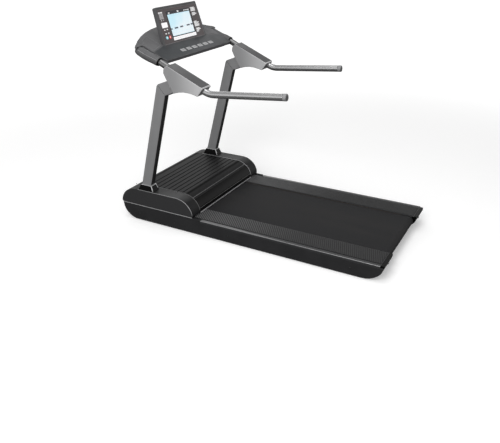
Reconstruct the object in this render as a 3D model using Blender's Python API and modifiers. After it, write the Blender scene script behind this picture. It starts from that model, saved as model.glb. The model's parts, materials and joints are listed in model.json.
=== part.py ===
"""Motorised treadmill: base with motor bay, running deck, two raked uprights and a console.

Metres, +Z up, +Y toward the console, +X to the runner's right. The row origin is on the floor, in the
middle of the length and width. Distances along the machine are first given from its rear end, and the
empty "rear_end" carries every piece to its place.
"""

import math

import bmesh
import bpy
from mathutils import Vector

GAP = 0.0003

# Base
LENGTH = 1.907
WIDTH = 0.92
HALF_WIDTH = WIDTH / 2
RAIL_TOP = 0.110
HOOD_TOP = 0.236
HOOD_REAR = 1.313
HOOD_SEAM_X = 0.361
HOOD_WALL = 0.004
LIP_FRONT = 1.355
TRIM_HEIGHT = 0.121
CORNER_LENGTH = 0.13
CORNER_HEIGHT = 0.108
SKIRT_THICK = 0.012
SKIRT_BOTTOM = 0.004
BEAM = (0.040, 0.060)
BEAM_BOTTOM = 0.020
BEAM_WALL = 0.0025
BEAM_X = 0.410
CROSS_BEAM = (0.0520, 0.0785)

# Running deck
BELT_WIDTH = 0.540
BELT_THICK = 0.0025
BELT_TOP = 0.107
RAIL_INNER = 0.277
RAIL_THICK = 0.004
RAIL_LIP = 0.012
RAIL_END = 1.335
NOTCH_START = 1.253
ROLLER_WIDTH = 0.560
FRONT_ROLLER_R = 0.030
REAR_ROLLER_R = 0.026
REAR_ROLLER_Y = 0.048
FRONT_ROLLER_Y = 1.375
AXLE_R = 0.0075
AXLE_CLEARANCE = 0.0003
ROLLER_CENTRE_Z = BELT_TOP - BELT_THICK - FRONT_ROLLER_R
REAR_CENTRE_Z = BELT_TOP - BELT_THICK - REAR_ROLLER_R
DECK_THICK = 0.018

# Drive
PULLEY_X = -0.318
PULLEY_WIDTH = 0.016
ROLLER_PULLEY_R = 0.044
MOTOR_PULLEY_R = 0.020
MOTOR_Y = 1.600
MOTOR_Z = 0.118
MOTOR_R = 0.056
FLYWHEEL_R = 0.066
DRIVE_BELT_THICK = 0.003

# Uprights, handles and console
RAKE = math.radians(15.2)
UPRIGHT_X = 0.417
UPRIGHT_WIDTH = 0.0452
UPRIGHT_DEPTH = 0.0751
UPRIGHT_WALL = 0.003
HANDLE_X = 0.4219
HANDLE_R = 0.021
HANDLE_START = 0.035
HANDLE_END = (0.6750, 1.0019)
HANDLE_CAP = 0.0235
HANDLE_BEND = (1.1677, 0.9596)
HANDLE_BEND_R = 0.150
CONSOLE_AT = (1.5191, 1.1224)
CONSOLE_SLOPE = math.radians(24.86)
TRAY_TOP = 0.0155
TRAY_SPLIT = -0.0055
TRAY_BOTTOM = -0.028
POD_INNER = 0.392
POD_END = 0.157
DISPLAY_AT = (1.6005, 1.1729)
DISPLAY_TILT = math.radians(16.9)
DISPLAY_HEIGHT = 0.242
DISPLAY_HALF_BOTTOM = 0.245
DISPLAY_HALF_TOP = 0.228
DISPLAY_THICK = 0.026
KEY_COUNT = 6
KEY_PITCH = 0.0657
KEY_MIDDLE = 0.021
KEY_SIZE = (0.045, 0.026, 0.007)
KEY_ROW = 0.020
KEY_PROUD = 0.0022

WHEEL_AT = (0.350, 1.735, 0.0262)

SIDES = {"left": -1, "right": 1}


def clear_scene():
    for obj in list(bpy.data.objects):
        bpy.data.objects.remove(obj, do_unlink=True)


clear_scene()
PARTS = bpy.data.collections.new("treadmill")
CUTTERS = bpy.data.collections.new("cutters")
bpy.context.scene.collection.children.link(PARTS)
bpy.context.scene.collection.children.link(CUTTERS)


def material(name, colour, roughness, metallic=0.0):
    made = bpy.data.materials.new(name)
    made.use_nodes = True
    shader = made.node_tree.nodes["Principled BSDF"]
    shader.inputs["Base Color"].default_value = (*colour, 1)
    shader.inputs["Roughness"].default_value = roughness
    shader.inputs["Metallic"].default_value = metallic
    return made


STEEL = material("frame_steel", (0.03, 0.03, 0.032), 0.5, 0.2)
BRIGHT_STEEL = material("bright_steel", (0.5, 0.5, 0.5), 0.3, 1.0)
SILVER = material("silver_paint", (0.33, 0.33, 0.34), 0.35, 0.6)
CHARCOAL = material("charcoal_plastic", (0.045, 0.045, 0.047), 0.5)
GREY = material("grey_plastic", (0.12, 0.12, 0.125), 0.45)
GLOSS = material("gloss_black", (0.012, 0.012, 0.013), 0.15)
RAIL = material("rail_aluminium", (0.42, 0.42, 0.43), 0.35, 0.8)
BELT = material("belt_rubber", (0.03, 0.03, 0.031), 0.75)
RUBBER = material("black_rubber", (0.02, 0.02, 0.02), 0.8)
WOOD = material("deck_board", (0.09, 0.06, 0.04), 0.6)
ALUMINIUM = material("cast_aluminium", (0.5, 0.5, 0.5), 0.45, 0.9)
PANEL = material("display_panel", (0.05, 0.035, 0.038), 0.35)
SCREEN = material("screen_glass", (0.55, 0.78, 0.86), 0.1)
KEY_GREY = material("key_grey", (0.36, 0.36, 0.37), 0.45)
START_BLUE = material("start_blue", (0.18, 0.5, 0.7), 0.4)
STOP_RED = material("stop_red", (0.6, 0.03, 0.02), 0.4)


def empty(name, at=(0, 0, 0), turn_x=0.0, parent=None):
    made = bpy.data.objects.new(name, None)
    PARTS.objects.link(made)
    made.parent = parent
    made.location = at
    made.rotation_euler = (turn_x, 0, 0)
    return made


REAR_END = empty("rear_end", (0, -LENGTH / 2, 0))
CONSOLE = empty("console_plane", (0, *CONSOLE_AT), CONSOLE_SLOPE, REAR_END)
DISPLAY = empty("display_plane", (0, *DISPLAY_AT), -DISPLAY_TILT, REAR_END)


def add(name, mesh, finish, parent=REAR_END, at=(0, 0, 0), turn=(0, 0, 0)):
    """A sub-part, or a cutter when it has no finish."""
    made = bpy.data.objects.new(name, mesh)
    (PARTS if finish else CUTTERS).objects.link(made)
    made.parent = parent
    made.location = at
    made.rotation_euler = turn
    if finish:
        mesh.materials.append(finish)
    else:
        made.hide_render = True
        made.display_type = "WIRE"
    return made


def bevel(obj, width, segments=2, angle=35):
    made = obj.modifiers.new("rounded edges", "BEVEL")
    made.width = width
    made.segments = segments
    made.limit_method = "ANGLE"
    made.angle_limit = math.radians(angle)
    return obj


def cut(obj, *cutters, operation="DIFFERENCE"):
    for cutter in cutters:
        made = obj.modifiers.new(f"cut by {cutter.name}"[:60], "BOOLEAN")
        made.operation = operation
        made.object = cutter
    return obj


def box(name, low, high, finish=None, parent=REAR_END):
    """A box between two corners, given in the parent's axes."""
    low, high = Vector(low), Vector(high)
    shape = bmesh.new()
    bmesh.ops.create_cube(shape, size=1)
    bmesh.ops.scale(shape, vec=high - low, verts=shape.verts)
    mesh = bpy.data.meshes.new(name)
    shape.to_mesh(mesh)
    shape.free()
    return add(name, mesh, finish, parent, (low + high) / 2)


def hollow_beam(name, low, high, along, finish=STEEL, wall=BEAM_WALL):
    """A rectangular steel tube, open at both ends; along is the index of its long axis."""
    reach = Vector((wall, wall, wall))
    reach[along] = -0.01
    beam = box(name, low, high, finish)
    return cut(beam, box(name + "_inside", Vector(low) + reach, Vector(high) - reach))


def extruded(name, outline, thick, finish=None, parent=REAR_END, at=(0, 0, 0), turn=(0, 0, 0)):
    """A flat outline, centred on its own plane, thickened both ways by half of thick."""
    curve = bpy.data.curves.new(name, "CURVE")
    curve.dimensions = "2D"
    curve.fill_mode = "BOTH"
    curve.extrude = thick / 2
    line = curve.splines.new("POLY")
    line.points.add(len(outline) - 1)
    for point, (across, up) in zip(line.points, outline):
        point.co = (across, up, 0, 1)
    line.use_cyclic_u = True
    flat = bpy.data.objects.new(name + "_outline", curve)
    bpy.context.scene.collection.objects.link(flat)
    bpy.context.view_layer.update()
    mesh = bpy.data.meshes.new_from_object(flat.evaluated_get(bpy.context.evaluated_depsgraph_get()))
    bpy.data.objects.remove(flat, do_unlink=True)
    shape = bmesh.new()
    shape.from_mesh(mesh)
    bmesh.ops.remove_doubles(shape, verts=shape.verts, dist=1e-5)
    bmesh.ops.dissolve_limit(shape, angle_limit=0.001, verts=shape.verts, edges=shape.edges)
    bmesh.ops.recalc_face_normals(shape, faces=shape.faces)
    shape.to_mesh(mesh)
    shape.free()
    mesh.name = name
    return add(name, mesh, finish, parent, at, turn)


# A side outline is given as (distance from the rear, height) and stands in a plane of constant X.
SIDE_ON = (math.pi / 2, 0, math.pi / 2)


def side_profile(name, outline, x_low, x_high, finish=None):
    return extruded(name, outline, abs(x_high - x_low), finish, at=((x_low + x_high) / 2, 0, 0), turn=SIDE_ON)


def turned(name, profile, at, finish=None, steps=32, parent=REAR_END):
    """A ring about an X axis. The profile is (radius, place along X), down the outer side first."""
    mesh = bpy.data.meshes.new(name)
    points = [(radius, 0, place) for radius, place in profile]
    mesh.from_pydata(points, [(i, (i + 1) % len(points)) for i in range(len(points))], [])
    made = add(name, mesh, finish, parent, at, (0, math.pi / 2, 0))
    screw = made.modifiers.new("turned", "SCREW")
    screw.steps = steps
    screw.render_steps = steps
    screw.use_merge_vertices = True
    screw.merge_threshold = 0.00001
    screw.use_smooth_shade = True
    return made


def rod(name, radius, low, high, at, finish=None, parent=REAR_END, segments=24, across=True):
    """A round bar along X (or along its parent's Y) from low to high."""
    shape = bmesh.new()
    bmesh.ops.create_cone(
        shape, cap_ends=True, segments=segments, radius1=radius, radius2=radius, depth=high - low
    )
    mesh = bpy.data.meshes.new(name)
    shape.to_mesh(mesh)
    shape.free()
    middle = Vector(at)
    middle[0 if across else 1] += (low + high) / 2
    turn = (0, math.pi / 2, 0) if across else (math.pi / 2, 0, 0)
    return add(name, mesh, finish, parent, middle, turn)


def quarter(centre, reach, start, count=7):
    """Points of a quarter ellipse about centre, from the angle start, in degrees, turning left."""
    steps = [math.radians(start + 90 * i / count) for i in range(count + 1)]
    return [(centre[0] + reach[0] * math.cos(a), centre[1] + reach[1] * math.sin(a)) for a in steps]


# ---------------------------------------------------------------- base frame


def frame_beams():
    """Side beams with a tongue for the rear axle, and cross beams between the belt's two runs."""
    low, high = BEAM_BOTTOM, BEAM_BOTTOM + BEAM[1]
    reach = BEAM_X - BEAM[0] / 2
    for side, sign in SIDES.items():
        edges = sorted((sign * reach, sign * (reach + BEAM[0])))
        beam = hollow_beam(f"side_beam_{side}", (edges[0], 0.075, low), (edges[1], 1.800, high), 1)
        edges = sorted((sign * (reach + 0.0002), sign * (reach + BEAM_WALL - 0.0002)))
        tongue = box(f"axle_tongue_{side}", (edges[0], 0.030, 0.058), (edges[1], 0.095, high - 0.002))
        cut(beam, tongue, operation="UNION")
    reach -= GAP
    for name, place in (("middle", 0.680), ("rear", 0.150)):
        hollow_beam(
            f"cross_beam_{name}", (-reach, place, CROSS_BEAM[0]), (reach, place + 0.030, CROSS_BEAM[1]), 0
        )


def motor_pan():
    """The floor of the motor bay, turned up into the front panel, with a slot for each wheel."""
    thick, floor = 0.003, 0.008
    front = LENGTH - 0.004
    height = CORNER_HEIGHT
    centre = (front - CORNER_LENGTH, floor + height)
    outer = quarter(centre, (CORNER_LENGTH, height), -90)
    inner = quarter(centre, (CORNER_LENGTH - thick, height - thick), -90)
    rear = 1.450
    outline = [(rear, floor), *outer, *reversed(inner), (rear, floor + thick)]
    reach = HALF_WIDTH - SKIRT_THICK - GAP
    pan = side_profile("motor_pan", outline, -reach, reach, CHARCOAL)
    for side, sign in SIDES.items():
        low, high = sorted((sign * (WHEEL_AT[0] - 0.015), sign * (WHEEL_AT[0] + 0.015)))
        slot = box(f"wheel_slot_{side}", (low, WHEEL_AT[1] - 0.030, 0), (high, WHEEL_AT[1] + 0.030, 0.020))
        cut(pan, slot)


def skirts():
    """The dark side panels, rounded up at both ends."""
    top = TRIM_HEIGHT - 0.006
    base = SKIRT_BOTTOM
    reach = (CORNER_LENGTH, CORNER_HEIGHT - base)
    front = quarter((LENGTH - 0.011 - CORNER_LENGTH, CORNER_HEIGHT), reach, -90)
    rear = quarter((CORNER_LENGTH, CORNER_HEIGHT), reach, -180)
    rail_edge = RAIL_TOP - RAIL_LIP - GAP
    step = 0.003
    rear = [point for point in rear if point[1] < rail_edge - 0.004]
    outline = [
        (rear[0][0] - 0.001, rail_edge), *rear, *front[1:], (LENGTH - 0.011, top), (NOTCH_START + step, top),
        (NOTCH_START + step, rail_edge),
    ]
    for side, sign in SIDES.items():
        edges = sorted((sign * HALF_WIDTH, sign * (HALF_WIDTH - SKIRT_THICK)))
        bevel(side_profile(f"side_skirt_{side}", outline, *edges, CHARCOAL), 0.002, 2)


def foot_rails():
    """Aluminium foot rails with a turned-down outer edge, notched where they run under the hood."""
    start, under = 0.022, RAIL_TOP - RAIL_THICK
    for side, sign in SIDES.items():
        low, high = sorted((sign * RAIL_INNER, sign * HALF_WIDTH))
        rail = box(f"foot_rail_{side}", (low, start, under), (high, RAIL_END, RAIL_TOP), RAIL)
        low, high = sorted((sign * HALF_WIDTH, sign * (HALF_WIDTH - 0.006)))
        lip_top = (high, NOTCH_START, RAIL_TOP - 0.001)
        lip = box(f"rail_lip_{side}", (low, start, RAIL_TOP - RAIL_LIP), lip_top)
        cut(rail, lip, operation="UNION")
        low, high = sorted((sign * (HALF_WIDTH - 0.024), sign * (HALF_WIDTH + 0.01)))
        notch = box(f"rail_notch_{side}", (low, NOTCH_START - GAP, under - 0.02), (high, 1.4, 0.2))
        bevel(cut(rail, notch), 0.0025, 2, 60)


def rear_end_caps():
    """Black shells that close the rear corners beside the belt, curved like the skirts."""
    thick, top = 0.004, RAIL_TOP + 0.0005
    centre = (CORNER_LENGTH, CORNER_HEIGHT)
    reach = (CORNER_LENGTH, CORNER_HEIGHT - 0.010)
    outer = [point for point in quarter(centre, reach, -180, 12) if point[0] < 0.075]
    reach = (reach[0] - thick, reach[1] - thick)
    inner = [point for point in quarter(centre, reach, -180, 12) if point[0] < 0.079]
    outline = [(outer[0][0], top), *outer, *reversed(inner[2:]), (0.0215, 0.088), (0.0215, top)]
    for side, sign in SIDES.items():
        low, high = sorted((sign * (RAIL_INNER + 0.002), sign * (HALF_WIDTH - SKIRT_THICK - GAP)))
        bevel(side_profile(f"rear_end_cap_{side}", outline, low, high, GLOSS), 0.0012, 2, 40)


def feet_and_wheels():
    for side, sign in SIDES.items():
        for name, place in (("rear", 0.105), ("front", 1.400)):
            foot = rod(f"{name}_foot_{side}", 0.024, 0, BEAM_BOTTOM - GAP, (0, 0, 0), RUBBER)
            foot.rotation_euler = (0, 0, 0)
            foot.location = (sign * BEAM_X, place, (BEAM_BOTTOM - GAP) / 2)
            bevel(foot, 0.002, 2)
        profile = [
            (0.021, 0.011), (0.024, 0.009), (0.024, -0.009), (0.021, -0.011), (0.0045, -0.011), (0.0045, 0.011)
        ]
        turned(f"transport_wheel_{side}", profile, (sign * WHEEL_AT[0], *WHEEL_AT[1:]), RUBBER, 24)


# ---------------------------------------------------------------- running deck


def belt_loop(margin):
    """The outline of a band round both rollers, standing off them by margin."""
    front_r, rear_r = FRONT_ROLLER_R + margin, REAR_ROLLER_R + margin
    count = 12
    points = []
    for i in range(count + 1):
        a = math.radians(-90 + 180 * i / count)
        points.append((FRONT_ROLLER_Y + front_r * math.cos(a), ROLLER_CENTRE_Z + front_r * math.sin(a)))
    for i in range(count + 1):
        a = math.radians(90 + 180 * i / count)
        points.append((REAR_ROLLER_Y + rear_r * math.cos(a), REAR_CENTRE_Z + rear_r * math.sin(a)))
    return points


def running_deck():
    half = BELT_WIDTH / 2
    belt = side_profile("running_belt", belt_loop(BELT_THICK), -half, half, BELT)
    cut(belt, side_profile("belt_inside", belt_loop(GAP), -half - 0.01, half + 0.01))
    deck_top = BELT_TOP - BELT_THICK - 2 * GAP
    deck = box("deck_board", (-0.300, 0.110, deck_top - DECK_THICK), (0.300, 1.310, deck_top), WOOD)
    bevel(deck, 0.002, 1)
    for side, sign in SIDES.items():
        low, high = sorted((sign * 0.278, sign * 0.298))
        floor = CROSS_BEAM[1] + GAP
        cushion = box(
            f"deck_cushion_{side}", (low, 0.682, floor), (high, 0.708, deck_top - DECK_THICK - GAP), RUBBER
        )
        bevel(cushion, 0.002, 1)
    half = ROLLER_WIDTH / 2
    bore = AXLE_R + AXLE_CLEARANCE
    crowned = [
        (FRONT_ROLLER_R - 0.0015, half), (FRONT_ROLLER_R, half - 0.004), (FRONT_ROLLER_R, -half + 0.004),
        (FRONT_ROLLER_R - 0.0015, -half), (bore, -half), (bore, half),
    ]
    turned("front_roller", crowned, (0, FRONT_ROLLER_Y, ROLLER_CENTRE_Z), BRIGHT_STEEL)
    step = FRONT_ROLLER_R - REAR_ROLLER_R
    smaller = [(r - step if r > bore else r, place) for r, place in crowned]
    turned("rear_roller", smaller, (0, REAR_ROLLER_Y, REAR_CENTRE_Z), BRIGHT_STEEL)
    reach = BEAM_X - BEAM[0] / 2 - GAP
    rod("front_axle", AXLE_R, -reach, reach, (0, FRONT_ROLLER_Y, ROLLER_CENTRE_Z), BRIGHT_STEEL)
    rod("rear_axle", AXLE_R, -reach, reach, (0, REAR_ROLLER_Y, REAR_CENTRE_Z), BRIGHT_STEEL)


# ---------------------------------------------------------------- drive


def drive():
    low, high = -PULLEY_WIDTH / 2, PULLEY_WIDTH / 2
    boss, bore = 0.016, AXLE_R + AXLE_CLEARANCE
    wheel = [
        (boss, high + 0.020), (boss, high), (ROLLER_PULLEY_R, high), (ROLLER_PULLEY_R, low), (bore, low),
        (bore, high + 0.020),
    ]
    turned("roller_pulley", wheel, (PULLEY_X, FRONT_ROLLER_Y, ROLLER_CENTRE_Z), ALUMINIUM)
    span = (MOTOR_Y - FRONT_ROLLER_Y, MOTOR_Z - ROLLER_CENTRE_Z)
    pitch = math.atan2(span[1], span[0])

    def band(margin):
        points = []
        ends = (
            ((MOTOR_Y, MOTOR_Z), MOTOR_PULLEY_R + margin, -90),
            ((FRONT_ROLLER_Y, ROLLER_CENTRE_Z), ROLLER_PULLEY_R + margin, 90),
        )
        lean = math.asin((ROLLER_PULLEY_R - MOTOR_PULLEY_R) / math.hypot(*span))
        for centre, radius, start in ends:
            wrap = math.pi - 2 * lean if start < 0 else math.pi + 2 * lean
            first = math.radians(start) + (lean if start < 0 else -lean) + pitch
            for i in range(15):
                a = first + wrap * i / 14
                points.append((centre[0] + radius * math.cos(a), centre[1] + radius * math.sin(a)))
        return points

    belt_low, belt_high = PULLEY_X - 0.007, PULLEY_X + 0.007
    belt = side_profile("drive_belt", band(0.0008 + DRIVE_BELT_THICK), belt_low, belt_high, RUBBER)
    cut(belt, side_profile("drive_belt_inside", band(0.0008), belt_low - 0.01, belt_high + 0.01))

    shaft = 0.007
    casing_low, casing_high = PULLEY_X + 0.060, PULLEY_X + 0.260
    end_r, boss_r, cap = MOTOR_R - 0.012, 0.018, 0.012
    casing = [
        (boss_r, casing_high + 0.008), (boss_r, casing_high), (end_r, casing_high),
        (MOTOR_R, casing_high - cap), (MOTOR_R, casing_low + cap), (end_r, casing_low),
        (boss_r, casing_low), (boss_r, casing_low - 0.008),
        (shaft + AXLE_CLEARANCE, casing_low - 0.008), (shaft + AXLE_CLEARANCE, casing_high + 0.008),
    ]
    turned("motor_casing", [(r, x - PULLEY_X) for r, x in casing], (PULLEY_X, MOTOR_Y, MOTOR_Z), STEEL)
    rotor = [
        (shaft, 0.276), (shaft, 0.046), (FLYWHEEL_R, 0.046), (FLYWHEEL_R, 0.018), (0.012, 0.018),
        (0.012, high + 0.002), (MOTOR_PULLEY_R, high + 0.002), (MOTOR_PULLEY_R, low - 0.002),
        (0.0035, low - 0.002), (0.0035, 0.276),
    ]
    turned("motor_rotor", rotor, (PULLEY_X, MOTOR_Y, MOTOR_Z), BRIGHT_STEEL)

    floor = 0.011 + GAP
    arch = [
        (MOTOR_Y - 0.060, floor), (MOTOR_Y + 0.060, floor), (MOTOR_Y + 0.060, MOTOR_Z - 0.030),
        (MOTOR_Y - 0.060, MOTOR_Z - 0.030),
    ]
    bracket = side_profile("motor_bracket", arch, PULLEY_X + 0.085, PULLEY_X + 0.235, STEEL)
    cut(bracket, rod("motor_seat", MOTOR_R + GAP, -0.3, 0.3, (-0.15, MOTOR_Y, MOTOR_Z), segments=32))
    low, high = (0.060, 1.480, floor), (0.260, 1.700, 0.075)
    controller = box("motor_controller", low, high, ALUMINIUM)
    fins = [
        box(f"fin_gap_{i}", (0.075 + 0.030 * i, 1.470, 0.045), (0.089 + 0.030 * i, 1.710, 0.080))
        for i in range(6)
    ]
    cut(controller, *fins)


# ---------------------------------------------------------------- motor hood


def upright_front(height):
    """Distance from the rear end of the upright's front face at a height."""
    return 1.6575 + UPRIGHT_DEPTH - (height - 0.2690) * math.tan(RAKE)


def upright_rear(height):
    return upright_front(height) - UPRIGHT_DEPTH


def hood_rear_curve(inset, low, high):
    """The rolled rear end of the hood's side outline, between two distances from the rear end."""
    base = TRIM_HEIGHT + GAP
    length = CORNER_LENGTH - 0.002
    centre = HOOD_REAR + length
    reach = (length - inset, HOOD_TOP - base - inset)
    steps = 24
    line = []
    low = max(low, HOOD_REAR + inset)
    for i in range(steps + 1):
        place = low + (high - low) * (1 - math.cos(math.pi * i / steps)) / 2
        across = min(1.0, (centre - place) / reach[0])
        line.append((place, base + reach[1] * math.sqrt(1 - across**2)))
    return line


def hood_outline(inset):
    """The hood's side outline, from the front foot over the top to the rear foot."""
    base = TRIM_HEIGHT + GAP
    length = CORNER_LENGTH - 0.002
    reach = (length - inset, HOOD_TOP - base - inset)
    front = quarter((LENGTH - length, base), reach, 0, 9)
    rear = quarter((HOOD_REAR + length, base), reach, 90, 9)
    return base, front, rear


def hood_centre():
    """The ribbed top shell between the two side panels."""
    _, front, _ = hood_outline(0)
    _, front_in, _ = hood_outline(HOOD_WALL)
    top = HOOD_REAR + CORNER_LENGTH - 0.002
    rear, rear_in = [hood_rear_curve(inset, LIP_FRONT, top) for inset in (0, HOOD_WALL)]
    outline = [*front, *reversed(rear), *rear_in, *reversed(front_in)]
    half = HOOD_SEAM_X - GAP
    centre = side_profile("hood_centre", outline, -half, half, CHARCOAL)
    rib_count, rib_spacing, first_rib, rib_width, rib_depth = 9, 0.040, 1.412, 0.006, 0.0018
    ribs = []
    for i in range(rib_count):
        place = first_rib + rib_spacing * i
        low = (-HOOD_SEAM_X - 0.01, place, HOOD_TOP - rib_depth)
        ribs.append(box(f"rib_gap_{i}", low, (HOOD_SEAM_X + 0.01, place + rib_width, HOOD_TOP + 0.06)))
    cut(centre, *ribs)


def upright_room(name, side, room, low, high):
    """A cutter that follows an upright with clearance all round."""
    outline = [
        (upright_rear(low) - room, low), (upright_front(low) + room, low),
        (upright_front(high) + room, high), (upright_rear(high) - room, high),
    ]
    middle, reach = SIDES[side] * UPRIGHT_X, UPRIGHT_WIDTH / 2 + room
    return side_profile(f"{name}_{side}", outline, middle - reach, middle + reach)


def hood_sides():
    """Closed-ended side panels with a slot for each upright."""
    base, front, rear = hood_outline(0)
    _, front_in, rear_in = hood_outline(HOOD_WALL)
    inner = [(front_in[0][0], base - 0.02), *front_in, *rear_in, (rear_in[-1][0], base - 0.02)]
    for side, sign in SIDES.items():
        low, high = sorted((sign * HOOD_SEAM_X, sign * (HALF_WIDTH - 0.0005)))
        panel = bevel(side_profile(f"hood_side_{side}", [*front, *rear], low, high, CHARCOAL), 0.003, 2)
        low, high = sorted((sign * (HOOD_SEAM_X - 0.02), sign * (HALF_WIDTH - HOOD_WALL)))
        cut(panel, side_profile(f"hood_side_inside_{side}", inner, low, high))
        cut(panel, upright_room("upright_slot", side, 0.003, 0.10, 0.30))


def hood_lip():
    """The glossy roll that closes the hood behind the belt."""
    wall, low = 0.005, RAIL_TOP + 0.002
    outer, inner = [hood_rear_curve(inset, HOOD_REAR, LIP_FRONT - GAP) for inset in (0, wall)]
    outline = [*reversed(outer), (HOOD_REAR, low), (HOOD_REAR + wall, low), *inner]
    half = HOOD_SEAM_X - GAP
    side_profile("hood_lip", outline, -half, half, GLOSS)


def hood():
    hood_centre()
    hood_sides()
    hood_lip()


# ---------------------------------------------------------------- uprights and handles


def uprights():
    """Raked steel uprights whose heads turn back into the handle housings."""
    foot = BEAM_BOTTOM + BEAM[1] + GAP
    outline = [
        (upright_rear(foot), foot), (upright_front(foot), foot), (upright_front(0.975), 0.975),
        (1.530, 0.986), (1.4440, 1.0195), (1.4060, 0.9530), (1.444, 0.932), (upright_rear(0.920), 0.920),
    ]
    wall = UPRIGHT_WALL + 0.001
    inner = [
        (upright_rear(foot - 0.02) + wall, foot - 0.02), (upright_front(foot - 0.02) - wall, foot - 0.02),
        (upright_front(0.960) - wall, 0.960), (upright_rear(0.930) + wall, 0.930),
    ]
    for side, sign in SIDES.items():
        low, high = sorted((sign * (UPRIGHT_X - UPRIGHT_WIDTH / 2), sign * (UPRIGHT_X + UPRIGHT_WIDTH / 2)))
        post = bevel(side_profile(f"upright_{side}", outline, low, high, SILVER), 0.003, 2, 40)
        cut(post, side_profile(f"upright_inside_{side}", inner, low + UPRIGHT_WALL, high - UPRIGHT_WALL))


def boots():
    """Tapered collars round the feet of the uprights, longest behind."""
    low, high = HOOD_TOP + GAP, 0.276
    for side, sign in SIDES.items():
        shape = bmesh.new()
        bmesh.ops.create_cube(shape, size=1)
        for vertex in shape.verts:
            upper, behind = vertex.co.z > 0, vertex.co.y < 0
            height = high if upper else low
            side_flare = 0.0065 if upper else 0.0115
            end_flare = (0.0055 if upper else 0.036) if behind else (0.0065 if upper else 0.016)
            vertex.co.x = math.copysign(UPRIGHT_WIDTH / 2 + side_flare, vertex.co.x) + sign * UPRIGHT_X
            vertex.co.y = upright_rear(height) - end_flare if behind else upright_front(height) + end_flare
            vertex.co.z = height
        mesh = bpy.data.meshes.new(f"boot_{side}")
        shape.to_mesh(mesh)
        shape.free()
        boot = bevel(add(f"upright_boot_{side}", mesh, GLOSS), 0.002, 2)
        cut(boot, upright_room("boot_hole", side, 0.0005, 0.20, 0.30))


def handle_path(start_along):
    """Centre line of a handle tube, from the console plane down round the bend to the grip's end."""
    bend, end = Vector(HANDLE_BEND), Vector(HANDLE_END)
    up = Vector((math.cos(CONSOLE_SLOPE), math.sin(CONSOLE_SLOPE)))
    back = (end - bend).normalized()
    half_turn = (math.pi - up.angle(back)) / 2
    tangent = HANDLE_BEND_R * math.tan(half_turn)
    centre_line = (up + back).normalized()
    centre = bend + centre_line * (HANDLE_BEND_R / math.cos(half_turn))
    first, last = bend + up * tangent, bend + back * tangent
    a0 = math.atan2(*(first - centre).yx)
    a1 = math.atan2(*(last - centre).yx)
    arc = [
        centre + Vector((math.cos(a0 + (a1 - a0) * i / 8), math.sin(a0 + (a1 - a0) * i / 8))) * HANDLE_BEND_R
        for i in range(9)
    ]
    start = Vector(CONSOLE_AT) + up * start_along
    return [start, *arc, end]


def tube(name, points, radius, finish=None, resolution=4):
    """A round tube along points in a plane of constant X, made into a welded mesh."""
    curve = bpy.data.curves.new(name, "CURVE")
    curve.dimensions = "3D"
    curve.bevel_depth = radius
    curve.bevel_resolution = resolution
    curve.use_fill_caps = True
    line = curve.splines.new("POLY")
    line.points.add(len(points) - 1)
    for point, place in zip(line.points, points):
        point.co = (*place, 1)
    wire = bpy.data.objects.new(name + "_line", curve)
    bpy.context.scene.collection.objects.link(wire)
    bpy.context.view_layer.update()
    mesh = bpy.data.meshes.new_from_object(wire.evaluated_get(bpy.context.evaluated_depsgraph_get()))
    bpy.data.objects.remove(wire, do_unlink=True)
    shape = bmesh.new()
    shape.from_mesh(mesh)
    bmesh.ops.remove_doubles(shape, verts=shape.verts, dist=1e-5)
    bmesh.ops.recalc_face_normals(shape, faces=shape.faces)
    shape.to_mesh(mesh)
    shape.free()
    mesh.name = name
    return add(name, mesh, finish)


def handles():
    grip = Vector(HANDLE_END) - Vector(HANDLE_BEND)
    grip_turn = math.atan2(grip.y, -grip.x)
    housing = [
        (1.401, 0.9455), (1.4550, 1.0400), (1.4660, 1.0630), (1.4640, 1.0840),
        (1.4560, 1.0990), (1.4430, 1.1060), (1.1920, 1.0020), (1.1880, 0.9940), (1.2260, 0.9470),
        (1.2550, 0.9550), (1.2900, 0.9605), (1.3250, 0.9615), (1.3600, 0.9570),
    ]
    for side, sign in SIDES.items():
        x = sign * HANDLE_X
        path = [(x, *point) for point in handle_path(HANDLE_START)]
        handle = tube(f"handle_tube_{side}", path, HANDLE_R, SILVER, 5)
        inner = [(x, *point) for point in handle_path(HANDLE_START + 0.02)]
        inner[-1] = (x, HANDLE_END[0] + 0.004, HANDLE_END[1])
        cut(handle, tube(f"handle_inside_{side}", inner, HANDLE_R - 0.002, None, 3))
        room_path = [(x, *point) for point in handle_path(HANDLE_START + 0.045)]
        room = tube(f"handle_room_{side}", room_path, HANDLE_R + 0.0006, None, 5)
        low, high = sorted((sign * 0.362, sign * 0.4612))
        shell = bevel(side_profile(f"handle_housing_{side}", housing, low, high, SILVER), 0.003, 2, 40)
        cut(shell, room)
        mouth = [(1.165, 0.986), (1.215, 1.0065), (1.239, 0.9575), (1.200, 0.948)]
        cut(shell, side_profile(f"housing_mouth_{side}", mouth, low + 0.004, high - 0.004))
        cap_at = Vector((x, *HANDLE_END))
        cap = rod(f"handle_cap_{side}", HANDLE_R + 0.0004, 0.0, HANDLE_CAP, (0, 0, 0), RUBBER, across=False)
        along_grip = Vector((0, -math.cos(grip_turn), math.sin(grip_turn)))
        cap.location = cap_at + along_grip * (HANDLE_CAP / 2 + GAP)
        cap.rotation_euler = (math.pi / 2 - grip_turn, 0, 0)
        bevel(cap, 0.004, 3)


# ---------------------------------------------------------------- console


def tray_front(x):
    """Distance along the console plane of its curved front edge."""
    radius = 0.840
    return 0.304 - radius + math.sqrt(radius**2 - x**2)


def tray_outline(reach, count=10):
    """The tray's front edge as points from +X to -X, out to a reach each side."""
    return [(x, tray_front(x)) for x in [reach - 2 * reach * i / count for i in range(count + 1)]]


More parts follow.
